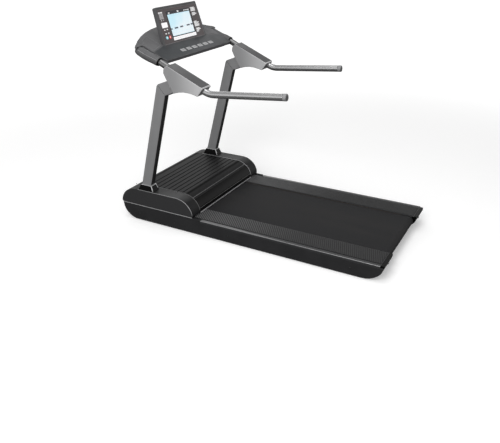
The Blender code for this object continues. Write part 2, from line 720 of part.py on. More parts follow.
def console_tray():
    """The upper shell, with an ear in front of each pod, over a lower shell."""
    rear, waist, inner = -0.031, 0.374, POD_INNER - GAP
    outline = [(-waist, rear), (waist, rear), (inner, 0.0), *tray_outline(inner), (-inner, 0.0)]
    thick, middle = TRAY_TOP - TRAY_SPLIT, (TRAY_TOP + TRAY_SPLIT) / 2
    tray = extruded("console_tray", outline, thick, GREY, CONSOLE, (0, 0, middle))
    inside = [(x * 0.965, (t - 0.1) * 0.90 + 0.1) for x, t in outline]
    roof = 0.004
    cut(tray, extruded("tray_inside", inside, 0.030, None, CONSOLE, (0, 0, TRAY_TOP - roof - 0.015)))
    root, tip, low = inner - 0.006, 0.445, POD_END + GAP
    for side, sign in SIDES.items():
        ear = [(root, low), (tip + 0.011, low), (tip, tray_front(tip)), (root, tray_front(root) - 0.002)]
        ear = [(sign * x, t) for x, t in ear]
        solid = extruded(f"tray_ear_{side}", ear, thick - 0.002, None, CONSOLE, (0, 0, middle))
        cut(tray, solid, operation="UNION")
    bevel(tray, 0.0022, 2, 50)
    lower = [(x * 0.94, (t - 0.1) * 0.86 + 0.1) for x, t in outline]
    high = TRAY_SPLIT - GAP
    middle = (high + TRAY_BOTTOM) / 2
    base = extruded("console_base", lower, high - TRAY_BOTTOM, CHARCOAL, CONSOLE, (0, 0, middle))
    bevel(base, 0.006, 2)
    return tray


def console_keys(tray):
    """Six keys, each in its own hole in the tray."""
    half_x, half_t = [size / 2 for size in KEY_SIZE[:2]]
    clear = 0.0005
    for i in range(KEY_COUNT):
        x = KEY_MIDDLE + KEY_PITCH * (i - (KEY_COUNT - 1) / 2)
        low = (x - half_x - clear, KEY_ROW - half_t - clear, 0)
        high = (x + half_x + clear, KEY_ROW + half_t + clear, 0.03)
        cut(tray, box(f"key_hole_{i}", low, high, None, CONSOLE))
        top = TRAY_TOP + KEY_PROUD
        low = (x - half_x, KEY_ROW - half_t, top - KEY_SIZE[2])
        key = box(f"console_key_{i + 1}", low, (x + half_x, KEY_ROW + half_t, top), KEY_GREY, CONSOLE)
        bevel(key, 0.0015, 2)


def pods():
    """Rounded sleeves that grip the handle tubes, fullest at the mouth and tucked under the tray's ears."""
    # distance along the console plane, middle height, half width, half height
    sections = [
        (-0.004, 0.0000, 0.0262, 0.0262), (0.002, -0.0005, 0.0285, 0.0280), (0.040, -0.0040, 0.0285, 0.0285),
        (0.070, -0.0095, 0.0283, 0.0280), (0.110, -0.0120, 0.0280, 0.0280), (0.140, -0.0100, 0.0275, 0.0250),
        (POD_END, -0.0080, 0.0220, 0.0190),
    ]
    steps = 24
    for side, sign in SIDES.items():
        shape = bmesh.new()
        loops = []
        for place, middle, half_width, half_height in sections:
            loop = []
            for i in range(steps):
                turn = math.tau * i / steps
                x = sign * (HANDLE_X + half_width * math.cos(turn))
                loop.append(shape.verts.new((x, place, middle + half_height * math.sin(turn))))
            loops.append(loop)
        for near, far in zip(loops, loops[1:]):
            for i in range(steps):
                shape.faces.new((near[i], near[i - 1], far[i - 1], far[i]))
        shape.faces.new(loops[0])
        shape.faces.new(loops[-1])
        bmesh.ops.recalc_face_normals(shape, faces=shape.faces)
        mesh = bpy.data.meshes.new(f"pod_{side}")
        shape.to_mesh(mesh)
        shape.free()
        pod = add(f"console_pod_{side}", mesh, GREY, CONSOLE)
        reach = HANDLE_START + 0.0015
        place = (sign * HANDLE_X, 0, 0)
        cut(pod, rod(f"pod_bore_{side}", HANDLE_R + 0.0006, -0.05, reach, place, None, CONSOLE, across=False))


def display_half(height):
    """Half width of the display's front at a height on its own plane."""
    return DISPLAY_HALF_BOTTOM + (DISPLAY_HALF_TOP - DISPLAY_HALF_BOTTOM) * height / DISPLAY_HEIGHT


def face_outline(bottom, top, inset, corner):
    """A tapered rectangle with cut corners on the display's front."""
    low, high = display_half(bottom) - inset, display_half(top) - inset
    right = [(low - corner, bottom), (low, bottom + corner), (high, top - corner), (high - corner, top)]
    return [*right, *[(-x, z) for x, z in reversed(right)]]


STAND_UP = (math.pi / 2, 0, 0)
PANEL_FRONT = 0.0015
PANEL_THICK = 0.003
SCREEN_WINDOW = (-0.125, 0.050, 0.127, 0.188)
DISPLAY_KEY_Z = 0.0505
DISPLAY_KEY_R = 0.0105


def face_slab(name, outline, front, thick, finish=None):
    return extruded(name, outline, thick, finish, DISPLAY, (0, front + thick / 2, 0), STAND_UP)


def display():
    """The tilted case with its recessed overlay panel, screen and start and stop keys."""
    case = face_slab("display_case", face_outline(0, DISPLAY_HEIGHT, 0, 0.006), 0, DISPLAY_THICK, GREY)
    bevel(case, 0.003, 2)
    low, high, inset = 0.011, DISPLAY_HEIGHT - 0.016, 0.0125
    cut(case, face_slab("display_recess", face_outline(low, high, inset, 0.004), -0.01, 0.026))
    cut(case, box("tray_space", (-0.6, -0.2, -0.3), (0.6, 0.4, TRAY_TOP + GAP), None, CONSOLE))
    clear = 0.0004
    panel_outline = face_outline(low + clear, high - clear, inset + clear, 0.004)
    panel = face_slab("display_panel", panel_outline, PANEL_FRONT, PANEL_THICK, PANEL)
    left, bottom, right, top = SCREEN_WINDOW
    cut(panel, box("screen_window", (left, -0.02, bottom), (right, 0.03, top), None, DISPLAY))
    low = (left + clear, PANEL_FRONT + 0.0006, bottom + clear)
    box("display_screen", low, (right - clear, PANEL_FRONT + 0.004, top - clear), SCREEN, DISPLAY)
    for name, x, finish in (("start_key", -0.191, START_BLUE), ("stop_key", -0.160, STOP_RED)):
        place, depth = (x, 0, DISPLAY_KEY_Z), 0.02
        hole = rod(f"{name}_hole", DISPLAY_KEY_R + 0.0005, -depth, depth, place, None, DISPLAY, across=False)
        cut(panel, hole)
        button = rod(name, DISPLAY_KEY_R, -0.001, 0.0050, place, finish, DISPLAY, across=False)
        bevel(button, 0.001, 2, 60)


def build():
    frame_beams()
    motor_pan()
    skirts()
    foot_rails()
    rear_end_caps()
    feet_and_wheels()
    running_deck()
    drive()
    hood()
    uprights()
    boots()
    handles()
    console_keys(console_tray())
    pods()
    display()


build()
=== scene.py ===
"""Looks of a motorised treadmill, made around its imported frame. Metres, +Z up, +Y toward the console."""

import json
import math

import bmesh
import bpy
from mathutils import Matrix, Vector


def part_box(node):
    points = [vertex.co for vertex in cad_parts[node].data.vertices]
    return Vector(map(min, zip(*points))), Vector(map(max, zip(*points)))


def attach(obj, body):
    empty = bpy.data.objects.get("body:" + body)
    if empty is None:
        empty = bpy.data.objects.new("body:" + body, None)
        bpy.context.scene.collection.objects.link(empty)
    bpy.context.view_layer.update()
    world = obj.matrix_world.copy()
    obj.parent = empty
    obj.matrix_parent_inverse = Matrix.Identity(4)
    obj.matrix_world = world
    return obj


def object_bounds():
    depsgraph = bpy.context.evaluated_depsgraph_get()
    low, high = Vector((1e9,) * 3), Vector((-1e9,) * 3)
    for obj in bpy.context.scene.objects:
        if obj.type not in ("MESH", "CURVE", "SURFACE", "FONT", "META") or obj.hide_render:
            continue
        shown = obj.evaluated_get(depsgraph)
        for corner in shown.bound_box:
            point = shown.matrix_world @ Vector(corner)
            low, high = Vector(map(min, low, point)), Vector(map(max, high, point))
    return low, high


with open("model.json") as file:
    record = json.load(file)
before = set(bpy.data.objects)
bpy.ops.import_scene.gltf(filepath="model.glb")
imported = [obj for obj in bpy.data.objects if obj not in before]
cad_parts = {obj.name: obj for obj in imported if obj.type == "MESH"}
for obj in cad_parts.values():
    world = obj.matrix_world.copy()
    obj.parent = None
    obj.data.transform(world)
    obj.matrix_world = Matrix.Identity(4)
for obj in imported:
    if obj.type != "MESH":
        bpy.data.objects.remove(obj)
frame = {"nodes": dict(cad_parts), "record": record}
CAD_BOX = [list(corner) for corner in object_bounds()]
REAR = CAD_BOX[0][1]
LENGTH = CAD_BOX[1][1] - CAD_BOX[0][1]
SIDES = {"left": -1, "right": 1}


def along(distance):
    """The place along Y at a distance from the machine's rear end."""
    return REAR + distance


def quarter_turn(axis, sense=1):
    """A quarter turn about an axis."""
    return Matrix.Rotation(sense * math.pi / 2, 4, axis)


def placed(name, data):
    """Puts a mesh, curve, light or camera in the scene as an object."""
    made = bpy.data.objects.new(name, data)
    bpy.context.scene.collection.objects.link(made)
    return made


# ------------------------------------------------------------------ camera, floor and light


def camera():
    """The main view: over the belt from behind the machine's left side."""
    azimuth, elevation, roll = math.radians(-61.08), math.radians(26.74), math.radians(-0.375)
    level = math.cos(elevation)
    back = Vector((math.sin(azimuth) * level, -math.cos(azimuth) * level, math.sin(elevation)))
    right = (-back).cross(Vector((0, 0, 1))).normalized()
    up = right.cross(-back)
    across = right * math.cos(roll) + up * math.sin(roll)
    above = up * math.cos(roll) - right * math.sin(roll)
    turn = Matrix((across, above, back)).transposed().to_4x4()
    data = bpy.data.cameras.new("camera")
    data.lens, data.sensor_width = 41.634, 36
    made = placed("camera", data)
    made.matrix_world = Matrix.Translation((-3.3011, along(-0.6985), 1.8345)) @ turn
    bpy.context.scene.camera = made


def area_light(name, at, towards, size, power):
    """A square light aimed at a point."""
    data = bpy.data.lights.new(name, "AREA")
    data.shape, data.size, data.energy = "SQUARE", size, power
    made = placed(name, data)
    made.location = at
    made.rotation_euler = (Vector(towards) - Vector(at)).to_track_quat("-Z", "Y").to_euler()


def sky():
    """A grey studio sky: dark below, bright from the horizon part of the way up, and dim overhead."""
    world = bpy.data.worlds.new("studio")
    bpy.context.scene.world = world
    world.use_nodes = True
    made = Nodes(world.node_tree)
    coordinates = made.node("ShaderNodeTexCoord").outputs["Generated"]
    direction = made.node("ShaderNodeSeparateXYZ", None, {"Vector": coordinates})
    rise = made.node("ShaderNodeMapRange", None, {"Value": direction.outputs["Z"], "From Min": -1})
    greys = ((0, 0.08), (0.36, 0.08), (0.47, 0.40), (0.49, 1.0), (0.66, 0.95), (0.78, 0.42), (1, 0.36))
    stops = [(place, (grey, grey, grey)) for place, grey in greys]
    ramp = made.node("ShaderNodeValToRGB", {"stops": stops}, {0: rise.outputs[0]})
    made.fill(made.tree.nodes["Background"].inputs["Color"], ramp.outputs[0])


def studio():
    """The sky, four lights, and a pale floor that the machine neither reflects nor is lit by."""
    sky()
    area_light("key_light", (-3.6, -0.6, 3.4), (0, 0.2, 0.6), 2.0, 92)
    area_light("top_light", (-0.4, 0.2, 4.6), (0, 0.1, 0.3), 2.6, 40)
    area_light("side_light", (-4.4, -1.0, 1.5), (0, 0.3, 0.7), 1.8, 50)
    area_light("rim_light", (3.2, 2.6, 2.4), (0, 0.3, 0.7), 2.0, 10)
    floor = bpy.data.meshes.new("floor")
    span = 90
    corners = [(-span, -span, 0), (span, -span, 0), (span, span, 0), (-span, span, 0)]
    floor.from_pydata(corners, [], [(0, 1, 2, 3)])
    floor.materials.append(floor_finish().material)
    ground = placed("floor", floor)
    ground.location.z = -0.0005
    ground.visible_diffuse = ground.visible_glossy = False
    bpy.context.scene.view_settings.view_transform = "Standard"


# ------------------------------------------------------------------ shader expressions


class Value:
    """A number that varies over a surface. Arithmetic on it adds Math nodes."""

    def __init__(self, finish, socket):
        self.finish = finish
        self.socket = socket

    def math(self, operation, first, second=0.0):
        made = self.finish.node("ShaderNodeMath", {"operation": operation}, {0: first, 1: second})
        return Value(self.finish, made.outputs[0])

    def __add__(self, other):
        return self.math("ADD", self, other)

    def __sub__(self, other):
        return self.math("SUBTRACT", self, other)

    def __mul__(self, other):
        return self.math("MULTIPLY", self, other)

    def __truediv__(self, other):
        return self.math("DIVIDE", self, other)

    def __radd__(self, other):
        return self.math("ADD", other, self)

    def __rsub__(self, other):
        return self.math("SUBTRACT", other, self)

    def __rmul__(self, other):
        return self.math("MULTIPLY", other, self)

    def __abs__(self):
        return self.math("ABSOLUTE", self)

    def fold(self, period):
        """A triangle wave from 0 to period / 2."""
        return self.math("PINGPONG", self, period / 2)

    def most(self, other):
        """The larger of this and another."""
        return self.math("MAXIMUM", self, other)

    def soft_step(self, low, high):
        """Rises smoothly from 0 at low to 1 at high."""
        settings = {"interpolation_type": "SMOOTHSTEP"}
        sockets = {"Value": self, "From Min": low, "From Max": high}
        return Value(self.finish, self.finish.node("ShaderNodeMapRange", settings, sockets).outputs[0])


class Nodes:
    """A tree of nodes, and the one way to add to it."""

    def __init__(self, tree):
        self.tree = tree

    def node(self, kind, settings=None, sockets=None):
        """Adds a node, sets its settings, then fills its sockets with numbers or links."""
        made = self.tree.nodes.new(kind)
        for name, value in (settings or {}).items():
            if name == "stops":
                self.set_stops(made.color_ramp.elements, value)
            else:
                setattr(made, name, value)
        for name, value in (sockets or {}).items():
            self.fill(made.inputs[name], value)
        return made

    def set_stops(self, elements, stops):
        """Gives a colour ramp its stops, in rising order."""
        while len(elements) < len(stops):
            elements.new(0.5)
        for element, (place, colour) in zip(elements, stops):
            element.position = place
            element.color = (*colour, 1)

    def fill(self, socket, value):
        """Links a value or a socket to a socket, or sets it to a number or a colour."""
        if isinstance(value, Value):
            value = value.socket
        if isinstance(value, bpy.types.NodeSocket):
            self.tree.links.new(value, socket)
        else:
            socket.default_value = value


class Finish(Nodes):
    """A surface finish on one Principled shader."""

    def __init__(self, name, colour, roughness, metallic=0.0, **constants):
        self.name = name
        self.material = bpy.data.materials.new(name)
        self.material.use_nodes = True
        super().__init__(self.material.node_tree)
        self.shader = self.tree.nodes["Principled BSDF"]
        self.colour = colour
        self.feed("Base Color", (*colour, 1))
        self.feed("Roughness", roughness)
        self.feed("Metallic", metallic)
        for socket, value in constants.items():
            self.feed(socket.replace("_", " "), value)

    def feed(self, name, value):
        """Fills one of the shader's own sockets."""
        self.fill(self.shader.inputs[name], value)

    def place(self):
        """The point on the piece, in metres, as three values."""
        coordinates = self.node("ShaderNodeTexCoord").outputs["Object"]
        made = self.node("ShaderNodeSeparateXYZ", None, {"Vector": coordinates})
        return [Value(self, made.outputs[axis]) for axis in "XYZ"]

    def stretched(self, stretch):
        """The point on the piece, with each axis scaled."""
        coordinates = self.node("ShaderNodeTexCoord").outputs["Object"]
        return self.node("ShaderNodeMapping", None, {"Vector": coordinates, "Scale": stretch}).outputs[0]

    def noise(self, scale, detail, stretch=(1, 1, 1)):
        """Cloudy noise, from about 0.3 to 0.7."""
        sockets = {"Vector": self.stretched(stretch), "Scale": scale, "Detail": detail}
        return Value(self, self.node("ShaderNodeTexNoise", None, sockets).outputs[0])

    def cells(self, scale):
        """Distance from the middle of the nearest of many small cells."""
        sockets = {"Vector": self.stretched((1, 1, 1)), "Scale": scale}
        return Value(self, self.node("ShaderNodeTexVoronoi", None, sockets).outputs[0])

    def blend(self, factor, first, second):
        """A colour between first and second; each is a colour or a socket."""
        first, second = [(*colour, 1) if isinstance(colour, tuple) else colour for colour in (first, second)]
        made = self.node("ShaderNodeMix", {"data_type": "RGBA"}, {0: factor, 6: first, 7: second})
        return made.outputs[2]

    def bump(self, height, depth, strength):
        """Raises the surface by a height of this depth."""
        sockets = {"Height": height, "Distance": depth, "Strength": strength}
        self.feed("Normal", self.node("ShaderNodeBump", None, sockets).outputs[0])

    def mottle(self, amount, scale=9.0):
        """Slow, faint lighter and darker areas, as on any large moulding or coat of paint."""
        patches = self.noise(scale, 4.0).soft_step(0.35, 0.65)
        darker, lighter = shaded(self.colour, 1 - amount), shaded(self.colour, 1 + amount)
        self.feed("Base Color", self.blend(patches, darker, lighter))


def shaded(colour, share):
    """A colour made darker or lighter."""
    return tuple(min(1.0, part * share) for part in colour)


def moulded(name, colour, roughness, grain=1400.0, depth=0.00006, **constants):
    """Plastic with a fine spark-eroded grain and faint handling smears."""
    made = Finish(name, colour, roughness, **constants)
    made.mottle(0.10)
    smears = made.noise(14.0, 5.0, (1, 1, 3))
    made.feed("Roughness", roughness + 0.16 * (smears - 0.5))
    made.bump(made.noise(grain, 2.0), depth, 0.5)
    return made


def painted(name, colour, roughness, metallic, **constants):
    """Metallic paint: a flake sparkle under a light orange peel."""
    made = Finish(name, colour, roughness, metallic, **constants)
    flake = 0.6 * made.cells(2600.0) + 0.5 * made.noise(7.0, 3.0)
    made.feed("Base Color", made.blend(flake, shaded(colour, 0.86), shaded(colour, 1.12)))
    made.feed("Roughness", roughness + 0.14 * (made.noise(22.0, 4.0) - 0.5))
    made.bump(made.noise(260.0, 2.0), 0.00005, 0.35)
    return made


def turned_metal(name, colour, roughness):
    """Bare metal turned on a lathe: fine rings round X."""
    made = Finish(name, colour, roughness, 1.0)
    made.mottle(0.12, 30.0)
    rings = made.noise(900.0, 2.0, (1, 0.02, 0.02))
    made.feed("Roughness", roughness + 0.2 * (rings - 0.5))
    made.bump(rings, 0.00004, 0.6)
    return made


def extruded_metal(name, colour, roughness, metallic):
    """Anodised extrusion with faint die lines along Y."""
    made = Finish(name, colour, roughness, metallic)
    lines = made.noise(700.0, 2.0, (1, 0.01, 1))
    made.feed("Base Color", made.blend(lines, shaded(colour, 0.88), colour))
    made.feed("Roughness", roughness + 0.18 * (lines - 0.5))
    made.bump(lines, 0.00003, 0.5)
    return made


def rubber(name, colour):
    """Dull rubber with a fine pitted skin."""
    made = Finish(name, colour, 0.75, Specular_IOR_Level=0.25)
    made.mottle(0.18, 40.0)
    made.bump(made.noise(900.0, 3.0), 0.00012, 0.6)
    return made


def belt_finish():
    """Running belt: a fine diamond emboss, dulled along the tread's middle."""
    made = Finish("belt_rubber", (0.026, 0.026, 0.027), 0.62, Specular_IOR_Level=0.08)
    x, y, _ = made.place()
    diamond = 0.0032
    weave = (x + y).fold(diamond) + (x - y).fold(diamond)
    tread = 1 - abs(x).soft_step(0.05, 0.24)
    worn = tread * made.noise(6.0, 4.0, (2.5, 0.4, 1)).soft_step(0.3, 0.75)
    made.feed("Base Color", made.blend(worn * 0.6, (0.019, 0.019, 0.020), (0.031, 0.030, 0.030)))
    made.feed("Roughness", 0.62 + 0.08 * worn + 0.1 * (made.noise(500.0, 2.0) - 0.5))
    made.bump(weave * 260, 0.00022, 0.7)
    return made


def screen_finish():
    """Lit liquid crystal: pale blue, a little uneven, brighter to the lower right."""
    made = Finish("lit_screen", (0.62, 0.80, 0.86), 0.12, Coat_Weight=0.4)
    x, _, z = made.place()
    glow = (x * 1.6 - z * 3.2 + made.noise(12.0, 3.0) * 0.4).soft_step(-4.25, -3.75)
    colour = made.blend(glow, (0.50, 0.76, 0.86), (0.76, 0.84, 0.88))
    made.feed("Base Color", colour)
    made.feed("Emission Color", colour)
    made.feed("Emission Strength", 0.20)
    return made


def panel_finish():
    """Printed overlay on the display: a dark brown-black film with a fine tooth."""
    made = Finish("display_panel", (0.040, 0.026, 0.028), 0.34, Coat_Weight=0.25)
    made.mottle(0.15, 18.0)
    made.feed("Roughness", 0.32 + 0.1 * made.noise(60.0, 4.0))
    made.bump(made.noise(1500.0, 2.0), 0.00003, 0.4)
    return made


def board_finish():
    """Deck board: brown fibre, drawn out along Y."""
    made = Finish("deck_board", (0.075, 0.05, 0.035), 0.55)
    fibres = made.noise(120.0, 5.0, (1, 0.08, 1))
    made.feed("Base Color", made.blend(fibres, (0.055, 0.036, 0.024), (0.11, 0.075, 0.05)))
    made.bump(fibres, 0.0001, 0.4)
    return made


def hood_finish():
    """Ribbed hood: charcoal, with painted shade, near black, down in the grooves and beside them, and a paler
    grainy land between.
    """
    made = Finish("hood_ribbed", (0.022, 0.022, 0.023), 0.46, Specular_IOR_Level=0.10)
    _, y, z = made.place()
    sunk = 1 - z.soft_step(0.2345, 0.2359)
    on_top = z.soft_step(0.2300, 0.2340)
    grain = made.noise(420.0, 3.0, (0.25, 1, 1))
    land = made.blend(grain, (0.006, 0.006, 0.0065), (0.019, 0.019, 0.0195))
    beside = 1 - (y - along(FIRST_GROOVE)).fold(GROOVE_PITCH).soft_step(0.0030, 0.0065)
    ribs_rear, ribs_front = along(1.405), along(1.744)
    ribbed = y.soft_step(ribs_rear - 0.001, ribs_rear + 0.001)
    ribbed = ribbed * (1 - y.soft_step(ribs_front - 0.002, ribs_front + 0.002))
    # painted shade: near black down in the grooves and beside them, on the ribbed top
    dark = sunk.most(0.85 * beside * ribbed) * on_top
    made.feed("Base Color", made.blend(dark, land, (0.001, 0.001, 0.001)))
    made.feed("Roughness", 0.40 + 0.16 * grain + 0.25 * dark)
    made.bump(grain + 0.4 * made.noise(1500.0, 2.0), 0.00010, 0.5)
    return made


def hood_side_finish():
    """Hood sides: charcoal, with a painted reflection that makes the strip paler where it meets its rolled
    rear, and painted shade, near black, round the roll.
    """
    made = moulded("hood_shell", (0.030, 0.030, 0.031), 0.44, Specular_IOR_Level=0.13)
    x, y, z = made.place()
    outer, bend = HALF_WIDTH - 0.005, along(HOOD_REAR + CORNER_LENGTH)
    side_face = abs(x).soft_step(outer - 0.002, outer + 0.002)
    # painted shade: near black low round the rolled rear
    rolled = 1 - z.soft_step(HOOD_TOP - 0.030, HOOD_TOP - 0.004)
    # painted reflection: the strip pales toward its rolled rear
    pale = 1 - y.soft_step(bend, bend + 0.19)
    strip = made.blend(pale, (0.016, 0.016, 0.0165), (0.042, 0.042, 0.043))
    inboard = made.blend(rolled, strip, (0.011, 0.011, 0.0115))
    made.feed("Base Color", made.blend(side_face, inboard, (0.030, 0.030, 0.031)))
    return made


def tube_finish():
    """Handle tubes: bright silver, with painted shade where they run up under the console."""
    silver = (0.53, 0.53, 0.535)
    made = painted("tube_silver", silver, 0.26, 0.9)
    # painted shade under the console
    under = made.place()[1].soft_step(along(1.38), along(1.45))
    made.feed("Base Color", made.blend(under, silver, (0.22, 0.22, 0.222)))
    return made


def cap_finish():
    """Handle plugs: a silver rim round a dark end."""
    made = moulded("handle_cap", (0.16, 0.16, 0.162), 0.40)
    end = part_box("handle_cap_left")[0][1]
    rim = made.place()[1].soft_step(end + 0.0015, end + 0.0040)
    made.feed("Base Color", made.blend(rim, (0.085, 0.085, 0.086), (0.24, 0.24, 0.245)))
    return made


def grip_finish(name, colour):
    """Moulded grip rubber with a fine cross-ribbed tooth."""
    made = Finish(name, colour, 0.62, Specular_IOR_Level=0.2)
    x, y, _ = made.place()
    pitch = 0.004
    tooth = (x + y).fold(pitch) + (x - y).fold(pitch)
    scuffs = made.noise(18.0, 5.0, (3, 0.6, 1)).soft_step(0.4, 0.75)
    made.feed("Base Color", made.blend(scuffs, shaded(colour, 0.7), colour))
    made.feed("Roughness", 0.56 + 0.16 * scuffs)
    made.bump(tooth / pitch, 0.00018, 0.6)
    return made


def rib_finish():
    """Grip ribs: mid grey rubber, paler toward the hood."""
    made = Finish("grip_ribs", (0.070, 0.070, 0.071), 0.55, Specular_IOR_Level=0.2)
    toward_hood = made.place()[1].soft_step(-0.45, 0.30)
    made.feed("Base Color", made.blend(toward_hood, (0.036, 0.036, 0.037), (0.112, 0.112, 0.114)))
    made.bump(made.noise(900.0, 3.0), 0.00010, 0.5)
    return made


def inlay_finish():
    """Housing inlay: mid grey film, paler toward the console end."""
    made = Finish("housing_inlay", (0.10, 0.10, 0.102), 0.50, Specular_IOR_Level=0.2)
    paler = made.place()[1].soft_step(along(1.27), along(1.45))
    made.feed("Base Color", made.blend(paler, (0.080, 0.080, 0.082), (0.135, 0.135, 0.137)))
    made.bump(made.noise(700.0, 2.0), 0.0001, 0.5)
    return made


def housing_finish():
    """Silver housing paint, with a painted reflection that makes it paler toward the runner's end."""
    made = painted("housing_paint", (0.30, 0.30, 0.305), 0.36, 0.3, Coat_Weight=0.2)
    # painted reflection: paler toward the runner's end
    paler = 1 - made.place()[1].soft_step(along(1.20), along(1.42))
    made.feed("Base Color", made.blend(paler, (0.31, 0.31, 0.315), (0.54, 0.54, 0.545)))
    return made


def floor_finish():
    """Pale studio floor that glows a little more the further it lies from the machine."""
    made = Finish("pale_floor", (0.88, 0.88, 0.88), 0.85, Specular_IOR_Level=0.1)
    x, y, _ = made.place()
    away = (x * x + y * y).soft_step(2.0, 30.0)
    made.feed("Emission Color", made.blend(away, (0.25, 0.25, 0.25), (0.62, 0.62, 0.62)))
    made.feed("Emission Strength", 1.0)
    return made


def printed_ink(name, colour, roughness=0.5, glow=0.0):
    """Printed ink, which may glow a little in its own colour."""
    made = Finish(name, colour, roughness)
    made.mottle(0.06, 55.0)
    if glow:
        made.feed("Emission Color", (*colour, 1))
        made.feed("Emission Strength", glow)
    return made


def steel(name, colour, roughness):
    """Plated or blackened steel, a little uneven in tone and shine."""
    made = Finish(name, colour, roughness, 0.9)
    made.mottle(0.14, 90.0)
    made.feed("Roughness", roughness + 0.2 * (made.noise(240.0, 3.0) - 0.5))
    made.bump(made.noise(1200.0, 2.0), 0.00003, 0.4)
    return made


# ------------------------------------------------------------------ places on the machine

# Distances are along the floor from the rear end. X places are those of the right side.
HOOD_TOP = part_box("hood_centre")[1][2]
HOOD_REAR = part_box("hood_lip")[0][1] - REAR
HOOD_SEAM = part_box("hood_centre")[1][0]
HALF_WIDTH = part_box("side_skirt_right")[1][0]
RAIL_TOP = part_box("foot_rail_right")[1][2]
RAIL_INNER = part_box("foot_rail_right")[0][0]
RAIL_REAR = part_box("foot_rail_right")[0][1] - REAR
TRIM_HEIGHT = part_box("hood_side_right")[0][2]
CORNER_LENGTH = 0.128
BEAD_FRONT = LENGTH - 0.150
FIRST_GROOVE = 1.415
GROOVE_PITCH = 0.040
CONSOLE_SLOPE = math.radians(24.86)
DISPLAY_TILT = math.radians(16.9)
RAKE = math.radians(15.2)
CONSOLE = Matrix.Translation((0, along(1.5191), 1.1224)) @ Matrix.Rotation(CONSOLE_SLOPE, 4, "X")
DISPLAY = Matrix.Translation((0, along(1.6005), 1.1729)) @ Matrix.Rotation(-DISPLAY_TILT, 4, "X")
STAND_UP = quarter_turn("X")
HALF_TURN = Matrix.Rotation(math.pi, 4, "Z")
TRAY_TOP = 0.0155
PANEL_FRONT = 0.0015
UPRIGHT_X = 0.417
UPRIGHT_WIDTH = 0.0452
UPRIGHT_DEPTH = 0.0751
HANDLE_X = 0.4219
HANDLE_R = 0.021
SHARP = math.radians(50)


FINISHES = {finish.name: finish for finish in (
    painted("frame_steel", (0.020, 0.020, 0.022), 0.5, 0.1),
    moulded("charcoal_plastic", (0.017, 0.017, 0.018), 0.50, Specular_IOR_Level=0.25),
    hood_finish(),
    hood_side_finish(),
    extruded_metal("rail_aluminium", (0.040, 0.040, 0.042), 0.42, 0.4),
    moulded("gloss_black", (0.004, 0.004, 0.004), 0.20, 300.0, 0.00002, Specular_IOR_Level=0.10),
    rubber("black_rubber", (0.014, 0.014, 0.014)),
    belt_finish(),
    board_finish(),
    turned_metal("bright_steel", (0.52, 0.52, 0.52), 0.28),
    painted("silver_paint", (0.305, 0.305, 0.31), 0.32, 0.45, Coat_Weight=0.15),
    tube_finish(),
    housing_finish(),
    moulded("grey_plastic", (0.100, 0.100, 0.103), 0.48, Specular_IOR_Level=0.25),
    panel_finish(),
    screen_finish(),
    moulded("key_grey", (0.36, 0.36, 0.365), 0.42),
    moulded("start_blue", (0.30, 0.66, 0.74), 0.35, Coat_Weight=0.3),
    moulded("stop_red", (0.66, 0.045, 0.035), 0.35, Coat_Weight=0.3),
    moulded("display_case", (0.068, 0.068, 0.070), 0.46, Specular_IOR_Level=0.25),
    # painted shade on the uprights' rear faces and under their heads
    moulded("upright_shade_cover", (0.020, 0.020, 0.020), 0.42, Specular_IOR_Level=0.3),
    inlay_finish(),
    # painted highlight on beads
    painted("painted_highlight_bead", (0.30, 0.30, 0.305), 0.3, 0.4),
    # painted highlight on the lip
    moulded("lip_highlight_bead", (0.075, 0.075, 0.076), 0.35),
    # painted shade on beads
    moulded("painted_shade_bead", (0.085, 0.085, 0.086), 0.40),
    extruded_metal("bright_trim", (0.50, 0.50, 0.51), 0.30, 0.5),
    # painted reflection on the foot rails
    extruded_metal("rail_reflection_flare", (0.150, 0.150, 0.152), 0.40, 0.3),
    # painted highlight on edges
    painted("painted_edge_highlight", (0.55, 0.55, 0.555), 0.35, 0.3),
    cap_finish(),
    moulded("mitre_line", (0.055, 0.055, 0.056), 0.5),
    grip_finish("grip_strip", (0.022, 0.022, 0.0225)),
    rib_finish(),
    steel("black_steel", (0.05, 0.05, 0.05), 0.35),
    steel("zinc_steel", (0.48, 0.48, 0.47), 0.3),
    # painted highlight on the pods' ridges
    moulded("pod_ridge_highlight", (0.26, 0.26, 0.265), 0.36),
    moulded("pod_grip", (0.088, 0.088, 0.090), 0.55, 420.0, 0.0003, Specular_IOR_Level=0.3),
    moulded("key_bar", (0.24, 0.24, 0.242), 0.45),
    moulded("tray_rim", (0.13, 0.13, 0.135), 0.40),
    moulded("keypad_deck", (0.036, 0.039, 0.042), 0.42, Specular_IOR_Level=0.4),
    moulded("key_pad", (0.27, 0.27, 0.272), 0.5, 900.0, 0.00012),
    printed_ink("print_white", (0.84, 0.84, 0.84), 0.5, 0.12),
    printed_ink("print_grey", (0.50, 0.49, 0.50)),
    printed_ink("legend_bar", (0.90, 0.89, 0.90), 0.4, 0.22),
    moulded("gloss_bezel", (0.012, 0.011, 0.018), 0.18, 300.0, 0.00002, Specular_IOR_Level=0.4),
    moulded("panel_edge", (0.16, 0.155, 0.16), 0.40),
    printed_ink("screen_navy", (0.006, 0.014, 0.050), 0.35),
    printed_ink("screen_tint", (0.50, 0.72, 0.80), 0.25, 0.30),
)}


def upright_rear(height):
    """Distance from the rear end of an upright's rear face at a height."""
    return 1.6575 - (height - 0.2690) * math.tan(RAKE)


